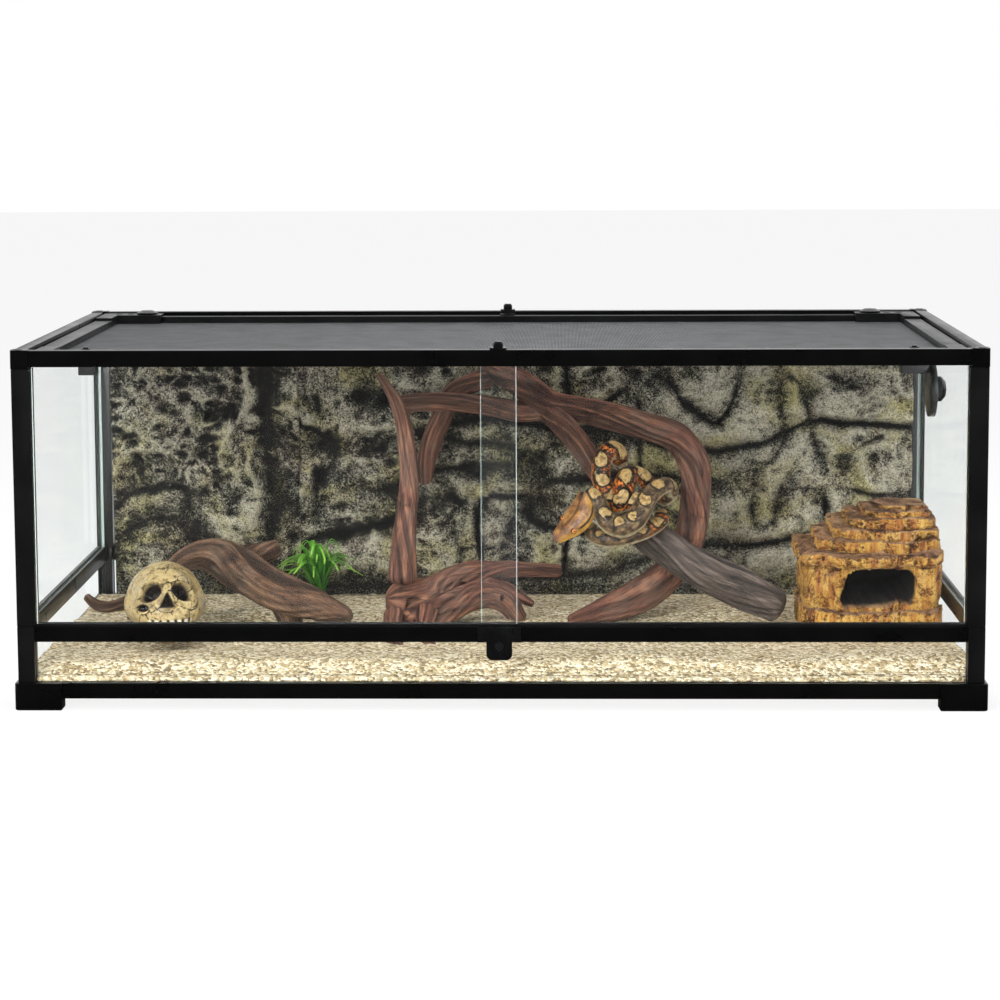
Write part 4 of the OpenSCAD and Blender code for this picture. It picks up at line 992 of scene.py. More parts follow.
@dataclass
class BackgroundPanel:
    """One moulded rock panel, from its seam to the tank's end."""
    node: str
    style: PanelStyle
    step: float
    face_y: float = 268 * MM
    back_y: float = 280 * MM
    depth: float = 26 * MM
    foot: tuple[float, float] = (53.5, 30)       # height where the relief starts and height it grows over, mm
    crest_cells: tuple[int, ...] = (3, 10, 26)   # sizes of what counts as standing out, in grid cells

    def rock(self, x: Array, z: Array) -> Array:
        """Height of the rock over the panel's face: humps, split by cracks where two noises cross zero.

        Args:
            x: Places across the tank, in metres.
            z: Places up the tank, in metres.
        Returns:
            One height a point, in metres.
        """
        xm, zm = x / MM, z / MM
        foot = np.clip((zm - self.foot[0]) / self.foot[1], 0, 1)
        big = plane_noise(xm / 130 + 9, zm / 62)
        mid = plane_noise(xm / 47 + 3, zm / 34 + 5)
        p = np.stack([x, np.zeros_like(x), z], axis=-1)
        bend = noise(p, 0.11, 5, 3)
        p = p + np.stack([bend * 0.022, bend * 0, noise(p, 0.09, 6, 3) * 0.018], axis=-1)
        long_size, short_size, width = self.style.value
        long_crack = smooth(0, width, np.abs(noise(p, long_size, 7, 2)))
        short_crack = smooth(0, 0.22, np.abs(noise(p, short_size, 8, 2)))
        split = np.sqrt(long_crack) * (0.3 + 0.7 * np.sqrt(short_crack))
        fold = 0.24 * (0.5 - 2.4 * np.abs(noise(p, 0.045, 9, 2)))
        wrinkle = (0.10 * (0.5 - 2.4 * np.abs(noise(p, (0.015, 1, 0.012), 12, 2)))
                   + 0.04 * noise(p, 0.007, 10, 2))
        hump = 0.45 + 0.6 * big + 0.3 * (mid - 0.4)
        return foot * self.depth * np.clip(split * hump + (fold + wrinkle) * (0.35 + split) + 0.02, 0, 1)

    @staticmethod
    def spread(level: Array, cells: int) -> Array:
        """Mean of a grid over a square of 2 cells + 1 points a side, its edge repeated.

        Args:
            level: The grid.
            cells: Reach of the square, in points.
        Returns:
            The smoothed grid.
        """
        for axis in (0, 1):
            wide = np.concatenate([np.repeat(np.take(level, [0], axis), cells + 1, axis), level,
                                   np.repeat(np.take(level, [-1], axis), cells, axis)], axis)
            total = np.cumsum(wide, axis)
            size = level.shape[axis]
            level = (np.take(total, np.arange(size) + 2 * cells + 1, axis)
                     - np.take(total, np.arange(size), axis)) / (2 * cells + 1)
        return level

    def build(self, material: bpy.types.Material) -> None:
        """Builds the rock face on a grid, closed by its sides and back.

        Args:
            material: Its finish.
        """
        low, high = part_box(self.node)
        nx = int((high.x - low.x) / self.step)
        nz = int((high.z - low.z) / self.step)
        x, z = np.meshgrid(np.linspace(low.x, high.x, nx), np.linspace(low.z, high.z, nz))
        x, z = x.ravel(), z.ravel()
        height = self.rock(x, z)
        points, faces = block(np.stack([x, self.face_y - height, z], axis=-1), nz, nx, 1, self.back_y)
        level = (height / self.depth).reshape(nz, nx)
        # crest: how far each point stands out of its surroundings, by which the finish paints shade in the
        # hollows and highlights on the crests
        scales = (level - self.spread(self.spread(level, c), c) for c in self.crest_cells)
        crest = 0.5 + 0.09 * sum(part / part.std() for part in scales)
        plain = np.zeros(len(points) - nx * nz)      # the sides and the back
        piece = make_piece(self.node + "_rock", points, faces, values={
            "height": np.concatenate([level.ravel(), plain + 0.4]),
            "crest": np.concatenate([crest.ravel(), plain + 0.5])})
        stand_in(piece, material, [self.node])


# ---------------------------------------------------------------- sand
@dataclass
class SandBed:
    """Loose sand over the floor pane, heaped a little towards the front."""
    step: float = 3.6 * MM
    dune: float = 14 * MM
    reach: tuple[float, float, float] = (598.7 * MM, -294.2 * MM, 266 * MM)   # to each side, front, rear
    notch: tuple[float, float] = (587.6 * MM, -283.2 * MM)                    # corner left to the front posts
    rim: float = 36 * MM                                                      # least height at the front
    ledge: float = 34.7 * MM                                                  # the body below is narrower
    body: tuple[float, float, float] = (586.5 * MM, -283 * MM, 24.7 * MM)     # to each side, front, floor

    def height(self, x: Array, y: Array) -> Array:
        """Height of the surface: slow dunes, a rise towards the front, ripples and loose clods.

        Args:
            x: Places across the tank, in metres.
            y: Places along its depth, in metres.
        Returns:
            One height a point, in metres.
        """
        xm, ym = x / MM, y / MM
        rise = 1.1 * plane_noise(xm / 170 + 4, ym / 110 + 2) + 0.35 * np.clip((-ym - 60) / 220, 0, 1)
        p = np.stack([x, y, np.zeros_like(x)], axis=-1)
        loose = 2.2 * MM * noise(p, 0.03, 21, 3) + 1.0 * MM * noise(p, 0.008, 22, 2)
        fall = np.clip((268 - ym) / 45, 0, 1)
        top = SAND_Z - 5 * MM + self.dune * fall * np.clip(rise, 0, 1.2) + loose
        edge = smooth(-300, -236, ym)
        return self.rim + (top - self.rim) * (0.15 + 0.85 * edge)

    def build(self, material: bpy.types.Material) -> None:
        """Builds the surface and the body under it, notched round the front posts.

        Args:
            material: Its finish.
        """
        (x1, y0, y1), (notch_x, notch_y), (bx, by, bz) = self.reach, self.notch, self.body
        parts = []
        for xa, xb, ya, yb in ((-notch_x, notch_x, y0, notch_y), (-x1, x1, notch_y, y1)):
            nx, ny = max(2, int((xb - xa) / self.step)), max(4, int((yb - ya) / self.step))
            x, y = np.meshgrid(np.linspace(xa, xb, nx), np.linspace(ya, yb, ny))
            top = np.stack([x.ravel(), y.ravel(), self.height(x.ravel(), y.ravel())], axis=-1)
            parts.append(block(top, ny, nx, 2, self.ledge))
        corners = ((-bx, by), (bx, by), (bx, y1), (-bx, y1))
        body = np.array([[x, y, z] for z in (bz, self.ledge) for x, y in corners])
        sides = [[0, 3, 2, 1], [4, 5, 6, 7], [0, 1, 5, 4], [1, 2, 6, 5], [2, 3, 7, 6], [3, 0, 4, 7]]
        parts.append((body, sides))
        faces, start = [], 0
        for points, part_faces in parts:
            faces += [[i + start for i in face] for face in part_faces]
            start += len(points)
        piece = make_piece("sand_surface", np.vstack([points for points, _ in parts]), faces)
        stand_in(piece, material, ["sand_bed"])


# ---------------------------------------------------------------- driftwood
@dataclass
class Limb:
    """One limb: points of [x, y, z, radius] in millimetres, z above the sand."""
    points: Sequence[Sequence[float]]
    gnarl: float = 0.16          # share of the radius that lumps and long ridges take
    holes: Sequence[Sequence[float]] = ()    # [share of the length, angle round in degrees, width in mm]


@dataclass
class DriftwoodPiece:
    """A piece of driftwood made of limbs."""
    node: str
    slot: str
    limbs: Sequence[Limb]
    origin: tuple[float, float] = (0, 0)
    sides: int = 96
    seed: int = 3

    def limb_surface(self, limb: Limb, seed: int) -> Surface:
        """Tube c(v) + r(u, v) (cos u n + sin u b) round the limb's curve, r = radius (1 + lumps + ridges).

        Args:
            limb: The limb.
            seed: Picks its lumps.
        Returns:
            Points, quads, UV in metres (u round the limb, v along it), and depth in a groove or hole as
            "deep", for painted shade.
        """
        raw = np.array(limb.points, float) * MM
        raw[:, :3] += np.array([self.origin[0] * MM, self.origin[1] * MM, SAND_Z])
        c = spline(raw, 26)
        centre, radius = c[:, :3], np.maximum(c[:, 3], 2 * MM)
        tangent = unit(np.gradient(centre, axis=0))
        across = unit(np.cross(tangent, (0, 1, 0)))
        over = np.cross(tangent, across)
        a = np.arange(self.sides + 1) / self.sides * 2 * math.pi
        length = run_length(centre)
        torn = 0.9 * noise(np.stack([np.cos(a), np.sin(a), a * 0], -1) * 1.6, 1.0, seed + 5, 3)
        tip = radius[:, None] * (0.5 + 0.5 * np.abs(torn))
        reach = np.minimum(length, length[-1] - length)[:, None] / tip
        cap = round_end(reach)
        twist = a[None, :] + length[:, None] * 5 + 0.9 * np.sin(length * 17 + seed)[:, None]
        round_way = np.stack(np.broadcast_arrays(np.cos(twist), np.sin(twist), length[:, None] * 9),
                             -1).reshape(-1, 3)
        shape = (len(c), -1)
        lumps = noise(round_way * 0.6, 1.0, seed, 2).reshape(shape)
        ridge = 1 - 3.2 * np.abs(noise(round_way * np.array([1.7, 1.7, 0.16]), 1.0, seed + 3,
                                       3)).reshape(shape)
        grain = noise(round_way * np.array([4.6, 4.6, 0.35]), 1.0, seed + 9, 3).reshape(shape)
        hole = np.zeros(lumps.shape)
        for share, angle, width in limb.holes:
            apart = np.angle(np.exp(1j * (a - math.radians(angle))))[None, :] * radius[:, None]
            hole += np.exp(-(np.hypot(length[:, None] - share * length[-1], apart) / (width * MM)) ** 4)
        swell = limb.gnarl * (1.5 * lumps + 0.55 * ridge - 0.2) + 0.10 * grain
        r = radius[:, None] * cap * (1 + swell) * (1 - 0.55 * np.clip(hole, 0, 1))
        r[:, -1] = r[:, 0]
        r[[0, -1]] = 0
        points = centre[:, None] + r[..., None] * (np.cos(a)[None, :, None] * across[:, None]
                                                   + np.sin(a)[None, :, None] * over[:, None])
        uv = np.stack(np.broadcast_arrays(np.mean(radius) * a[None, :], length[:, None] + seed * 0.37), -1)
        # deep: how far in a furrow or hole a point lies, for the painted shade
        deep = np.clip(0.62 - 0.45 * ridge - 0.5 * grain, 0, 0.8) + np.clip(hole, 0, 1)
        faces = grid_faces(len(c), self.sides + 1, False)
        return points.reshape(-1, 3), faces, uv.reshape(-1, 2), {"deep": deep.ravel()}

    def build(self, material: bpy.types.Material) -> None:
        """Builds every limb into one piece."""
        surfaces = [self.limb_surface(limb, self.seed + i) for i, limb in enumerate(self.limbs)]
        stand_in(join_surfaces(self.node + "_wood", surfaces), material, [self.node])


ROOT = [
    Limb([[-157, -60, 55, 5], [-139, -50, 39, 8], [-111, -30, 38, 9], [-81, 20, 48, 11], [-37, 60, 83, 18],
          [3, 70, 87, 27], [41, 50, 71, 28], [101, 0, 49, 24], [160, -40, 35, 19], [203, -70, 27, 9]], 0.24),
    Limb([[17, 75, 78, 19], [56, 95, 83, 16], [91, 105, 94, 10]], 0.24),
    Limb([[-81, 20, 48, 10], [-100, 30, 18, 9], [-112, 34, -6, 8]]),
    Limb([[101, 0, 49, 20], [110, 10, 18, 17], [116, 20, -6, 15]]),
]
LOG = [
    Limb([[-158, -60, 50, 25], [-131, -45, 48, 28], [-102, -20, 50, 25], [-67, 0, 65, 21], [-26, 15, 73, 17],
          [20, 30, 75, 12], [79, 42, 71, 10]], 0.3, ((0.1, 95, 9), (0.43, 120, 7))),
    Limb([[-142, -54, 30, 25], [-100, -42, 32, 23], [-71, -30, 38, 19], [-31, -10, 48, 16], [0, 0, 38, 14],
          [23, 5, 6, 9]], 0.3, ((0.75, 80, 3),)),
    Limb([[-31, -5, 61, 13], [5, 6, 48, 11], [40, 14, 28, 4]], 0.26),
    Limb([[-146, -70, 35, 17], [-148, -110, 8, 10], [-129, -140, -6, 6]], 0.26),
    Limb([[-106, -60, 35, 15], [-104, -110, 8, 9], [-85, -145, -6, 6]], 0.26),
    Limb([[-170, -10, 351, 4], [-147, -15, 316, 9], [-134, -20, 276, 11], [-129, -30, 209, 13],
          [-135, -40, 128, 16], [-138, -45, 66, 19]], 0.14),
]
ARCH = [
    Limb([[-38, 195, 349, 13], [18, 180, 318, 19], [61, 150, 291, 18], [103, 140, 284, 16],
          [151, 125, 276, 17], [197, 108, 264, 18], [239, 95, 249, 20], [262, 85, 218, 20],
          [265, 75, 178, 19], [261, 65, 137, 20], [248, 58, 96, 21], [222, 52, 61, 23], [185, 44, 35, 24],
          [133, 34, 14, 17], [87, 24, 2, 8]], 0.2),
    Limb([[61, 150, 284, 16], [93, 110, 252, 16], [118, 75, 222, 15.5], [136, 45, 196, 14]], 0.14),
    Limb([[-154, 160, 290, 11.5], [-93, 165, 292, 12.5], [-35, 172, 287, 13], [18, 168, 277, 15],
          [56, 158, 280, 14]], 0.14),
    Limb([[-19, 192, 325, 14], [-73, 200, 303, 14], [-95, 205, 262, 15], [-112, 208, 218, 15],
          [-123, 212, 168, 13]], 0.14),
]
GREY = [
    Limb([[142, 26, 192, 20], [186, 10, 136, 24], [220, 0, 110, 26], [267, -10, 81, 27], [332, -20, 53, 26],
          [380, -28, 29, 21]], 0.18),
]


# ---------------------------------------------------------------- skull
@dataclass
class SkullHide:
    """A hollow cast skull, generic, that the snake can creep under."""
    centre: tuple[float, float] = (-449.5, -135)
    turn: float = 12
    rows: int = 260
    cols: int = 300

    def aim(self, d: Array, x: float, z: float, wide: float = 1, tall: float = 1) -> Array:
        """Flat distance of each direction from the one that leans x across and z up from the front."""
        side, rise = d[:, 0] / np.maximum(-d[:, 1], 0.05), d[:, 2] / np.maximum(-d[:, 1], 0.05)
        return np.where(d[:, 1] < -0.05, np.hypot((side - x) / wide, (rise - z) / tall), 9.0)

    def build(self, material: bpy.types.Material) -> None:
        """Builds the skull as a ball of radius R(d) for direction d, with bells added for bulges and hollows.

        Args:
            material: Its finish.
        """
        th = np.linspace(0.0, math.pi, self.rows)
        ph = np.arange(self.cols) / self.cols * 2 * math.pi
        t, p = np.meshgrid(th, ph, indexing="ij")
        d = np.stack([np.sin(t) * np.cos(p), np.sin(t) * np.sin(p), np.cos(t)], -1).reshape(-1, 3)

        def bell(x: float, y: float, z: float, width: float, lift: float, two: bool = True) -> Array:
            """Bell round a direction: lift exp(-(1 - d c) / (width^2 / 2)), mirrored in x if two is true.

            Args:
                x: Direction across.
                y: Direction back.
                z: Direction up.
                width: Angular width.
                lift: Height at the middle, in mm.
                two: Adds the mirrored bell.
            Returns:
                One height a direction.
            """
            out = np.zeros(len(d))
            for s in ((1, -1) if two else (1,)):
                c = unit(np.array([s * x, y, z], float))
                out += lift * np.exp(-((1 - d @ c) / (width ** 2 / 2)))
            return out

        low = smooth(0.0, -0.8, d[:, 2])
        front = smooth(0.1, 0.9, -d[:, 1])
        half = np.array([53.0, 60, 58])
        r = 1 / np.sqrt(((d / half) ** 2).sum(1))
        r *= 1 - 0.24 * low * (1 - 0.5 * front)
        r += bell(0, -1, 0.5, 0.5, -3, False) + bell(0.5, -1, 0.72, 0.24, 4) + bell(0.1, -1, 0.62, 0.16, 3)
        socket = smooth(1.05, 0.94, np.minimum(self.aim(d, 0.46, 0.58, 0.34, 0.31),
                                               self.aim(d, -0.48, 0.58, 0.34, 0.31)))
        up = (d[:, 2] / np.maximum(-d[:, 1], 0.05) - 0.3) / 0.17       # -1 at the nose's foot, 1 at its top
        wide = 0.17 * np.clip(0.52 - 0.44 * up, 0.05, 1)
        nose = smooth(1.1, 0.92, np.maximum(self.aim(d, 0, 0.3, 1, 1e3) / wide, np.abs(up)))
        hole = smooth(1.1, 0.9, self.aim(d, -0.6, 0.12, 0.17, 0.08))
        rim = bell(0.44, -1, 0.5, 0.5, 5)
        cheek = bell(0.72, -0.85, 0.04, 0.24, 7) + bell(1, -0.3, 0.05, 0.3, 2)
        cheek = cheek + bell(0, -1, 0.34, 0.1, 4, False)
        temple = bell(1, -0.55, 0.5, 0.34, -6)
        jaw = bell(0.25, -1, -0.42, 0.36, 10) + bell(0, -1, -0.75, 0.3, 8, False)
        r += rim + cheek + temple + jaw
        angle = np.arctan2(d[:, 0], -d[:, 1])
        row = np.exp(-((d[:, 2] + 0.15) / 0.045) ** 4) * (np.abs(angle - 0.05) < 0.46)
        teeth = np.abs(np.sin(angle * 21)) ** 0.6
        roots = np.exp(-((d[:, 2] + 0.02) / 0.08) ** 2) * (np.abs(angle - 0.05) < 0.6)
        r += row * (3 * teeth - 2.5) + 1.2 * roots * teeth - 30 * socket - 16 * nose - 12 * hole
        q = d * r[:, None] * MM
        q += d * (1.3 * MM * noise(q, 0.022, 31, 3))[:, None]
        a = math.radians(self.turn)
        x = q[:, 0] * math.cos(a) - q[:, 1] * math.sin(a)
        y = q[:, 0] * math.sin(a) + q[:, 1] * math.cos(a)
        points = np.stack([x + self.centre[0] * MM, y + (self.centre[1] + 14) * MM,
                           q[:, 2] + SAND_Z + 54 * MM], -1)
        # dug and level mark the sockets, the nose, the side hole and the gaps between the teeth, which the
        # finish paints dark as shade
        dug = np.maximum(socket, np.maximum(nose, hole))
        level = np.clip(1 - dug - row * (1 - teeth), 0, 1)
        piece = make_piece("skull_shell", points, grid_faces(self.rows, self.cols, True)[:, ::-1],
                           values={"height": level, "tooth": row * teeth})
        merge_doubles(piece)
        stand_in(piece, material, ["skull_hide"])


# ---------------------------------------------------------------- cave
@dataclass
class CaveHide:
    """A cast rock cave: ragged ledges on each other, lower to the left and front, with a mouth in front."""
    centre: tuple[float, float] = (499.5, 0)
    width: float = 192
    tall: float = 170
    mouth: tuple[float, float, float, float] = (-41.5, 49.5, 50, 95)     # left, right, sill and top
    riser_rows: int = 16
    tread_rows: int = 9
    cols: int = 640
    corners: int = 26            # of each slab's broken outline
    seed: int = 5
    # shares of half the width to each ledge's left, right, front and back, and of the height to its top
    LEDGES = [[1.03, 0.94, 1.12, 0.95, 0.235], [1, 0.94, 1, 0.95, 0.59], [1.08, 0.94, 1.1, 0.93, 0.68],
              [0.8, 0.94, 0.72, 0.9, 0.765], [0.58, 0.93, 0.6, 0.86, 0.84], [0.36, 0.89, 0.46, 0.8, 0.915],
              [0.12, 0.82, 0.32, 0.7, 0.965], [-0.14, 0.76, 0.18, 0.6, 1]]

    def build(self, material: bpy.types.Material) -> None:
        """Builds rings of points up each ledge's face and in over its top, then presses the mouth in.

        Args:
            material: Its finish.
        """
        ledges = np.array(self.LEDGES)
        reach, tops = ledges[:, :4] * self.width / 2, ledges[:, 4] * self.tall
        crown = np.array([0.0, 0.62, -0.1, 0.5]) * 0.5 * self.width      # where the top ledge closes
        rows = []
        for k, (side, top) in enumerate(zip(reach, tops)):
            low = -4 if k == 0 else tops[k - 1]
            after = reach[k + 1] if k + 1 < len(reach) else crown
            for t in np.linspace(0, 1, self.riser_rows, endpoint=False):
                rows.append((*side, low + (top - low) * t, k, t))
            for t in np.linspace(0, 1, self.tread_rows, endpoint=False):
                rows.append((*(side * (1 - t) + after * t), top + 1.5 * math.sin(math.pi * t), k, 1))
        left, right, front, back, z, bed, part = np.array(rows).T[:, :, None]
        a = (np.arange(self.cols) / self.cols * 2 * math.pi)[None, :]
        c, s = np.cos(a), np.sin(a)
        hx, hy = np.maximum((left + right) / 2, 1), np.maximum((front + back) / 2, 1)
        r = ((np.abs(c) / hx) ** 6 + (np.abs(s) / hy) ** 6) ** (-1 / 6)
        x, y, z = (right - left) / 2 + r * c, (back - front) / 2 + r * s, z + 0 * a
        p = np.stack([x, y, z * 0 + bed * 37], -1).reshape(-1, 3) * MM
        spot = np.stack([x, y, z], -1).reshape(-1, 3) * MM
        rng = np.random.default_rng(self.seed)
        slab = np.empty((len(self.LEDGES), self.cols))
        for k in range(len(self.LEDGES)):
            corner = np.sort(rng.uniform(0, 2 * math.pi, self.corners))
            slab[k] = np.interp(a[0], corner, rng.uniform(0, 1, self.corners), period=2 * math.pi)
        jag = slab[np.rint(bed[:, 0]).astype(int)]
        notch = noise(p * np.array([1, 1, 0.4]), 0.014, 43, 3).reshape(x.shape)
        chip = noise(spot, 0.016, 44, 3).reshape(x.shape)
        flute = noise(spot * np.array([1, 1, 0.16]), 0.010, 45, 2).reshape(x.shape)
        bulge = -4.0 * (part - 0.7) ** 2 + 0.3
        bite = 15 * jag - 6 - 9 * np.abs(notch) - 4 * chip - 3 * flute - 3 * bulge
        shrink = 1 - np.clip(bite, 0, 20) / np.maximum(np.hypot(hx, hy) * 0.7, 10)
        x, y = (right - left) / 2 + r * c * shrink, (back - front) / 2 + r * s * shrink
        sag = plane_noise(x / 38, y / 38 + 5)
        rugged = noise(spot * np.array([1, 1, 1.6]), 0.006, 46, 3).reshape(x.shape)
        x, y = x + 2.2 * rugged * c, y + 2.2 * rugged * s
        z = z + (2.2 * chip + 1.6 * rugged + 9 * (sag - 0.5) * (z < self.tall * 0.9)) * smooth(10, 40, z)
        # crest: how far the surface stands out at a small scale, by which the finish paints shade in the
        # dents
        crest = 0.5 + 0.4 * (chip + 0.6 * flute + 1.2 * rugged)
        x0, x1, z0, z1 = self.mouth
        sill = z0 + 4 * plane_noise(x / 14, y * 0 + 3) + 7 * smooth(x0, x1, x) - 4
        corner = 9 * (smooth(z1 - 14, z1, z) ** 2 + 0.6 * smooth(sill + 10, sill, z) ** 2)
        side = np.minimum(x - x0 - 3 + 0.25 * (z1 - z), x1 - x) - corner
        inside = (smooth(-1.0, 1.4, side) * smooth(-1.2, 1.6, z - sill) * smooth(-1.2, 1.6, z1 - z)
                  * (y < (back - front) / 2 - 5))
        y = y + inside * (56 - y)
        points = np.stack([x, y, z], -1).reshape(-1, 3) * MM
        points += np.array([self.centre[0] * MM, self.centre[1] * MM, SAND_Z])
        points[:, 2] = np.minimum(points[:, 2], SAND_Z + self.tall * MM)
        faces = grid_faces(len(rows), self.cols, True).tolist() + [
            list(range((len(rows) - 1) * self.cols, len(rows) * self.cols)), list(range(self.cols))[::-1]]
        # hollow: inside the mouth, which the finish paints near black as shade
        values = {"hollow": inside.ravel(), "crest": crest.ravel()}
        piece = make_piece("cave_rock", points, faces, values=values)
        stand_in(piece, material, ["cave_hide"])


# ---------------------------------------------------------------- grass
@dataclass
class GrassTuft:
    """A tuft of moulded grass: many arching blades from one base."""
    centre: tuple[float, float] = (-269.5, 140)
    blades: int = 62
    seed: int = 8

    def build(self, material: bpy.types.Material) -> None:
        """Builds each blade as a folded strip along an arc: out by reach s^1.5, up by h sin(125 s).

        Args:
            material: Its finish.
        """
        rng = np.random.default_rng(self.seed)
        n, rows = self.blades, 13
        turn = rng.uniform(0, 2 * math.pi, n)
        reach = rng.uniform(18, 78, n) * MM
        tall = rng.uniform(0.78, 1.0, n) * (112 * MM - 0.62 * reach)
        wide = rng.uniform(2.6, 4.2, n) * MM
        s = np.linspace(0, 1, rows)
        out = reach[:, None] * s ** 1.5
        up = tall[:, None] * np.sin(np.radians(125 * s))
        half = wide[:, None] * np.clip(1.15 - s, 0.02, 1) ** 0.7 * np.minimum(1, 0.5 + 2 * s)
        along = np.stack([np.cos(turn), np.sin(turn)], -1)
        across = np.stack([-np.sin(turn), np.cos(turn)], -1)
        root = rng.uniform(-9, 9, (n, 2)) * MM
        sway = rng.uniform(-0.25, 0.25, n)
        cols = []
        for side in (-1, 0, 1):
            xy = root[:, None] + out[..., None] * along[:, None] + (
                side * half + sway[:, None] * out * s)[..., None] * across[:, None]
            z = up - (0 if side else 0.6 * MM) + SAND_Z + 4 * MM
            cols.append(np.concatenate([xy, z[..., None]], -1))
        points = np.stack(cols, 2).reshape(-1, 3)
        points[:, :2] += np.array(self.centre) * MM
        strip = grid_faces(rows, 3, False)
        faces = (strip[None] + (np.arange(n) * rows * 3)[:, None, None]).reshape(-1, 4)
        uv = np.stack(np.broadcast_arrays(np.array([0, 0.5, 1])[None, None], s[None, :, None],
                                          np.zeros((n, 1, 1))), -1)[..., :2].reshape(-1, 2)
        piece = make_piece("grass_blades", points, faces, uv)
        shell = piece.modifiers.new("shell", "SOLIDIFY")
        shell.thickness, shell.offset = 0.4 * MM, 0
        stand_in(piece, material, ["grass_tuft"])


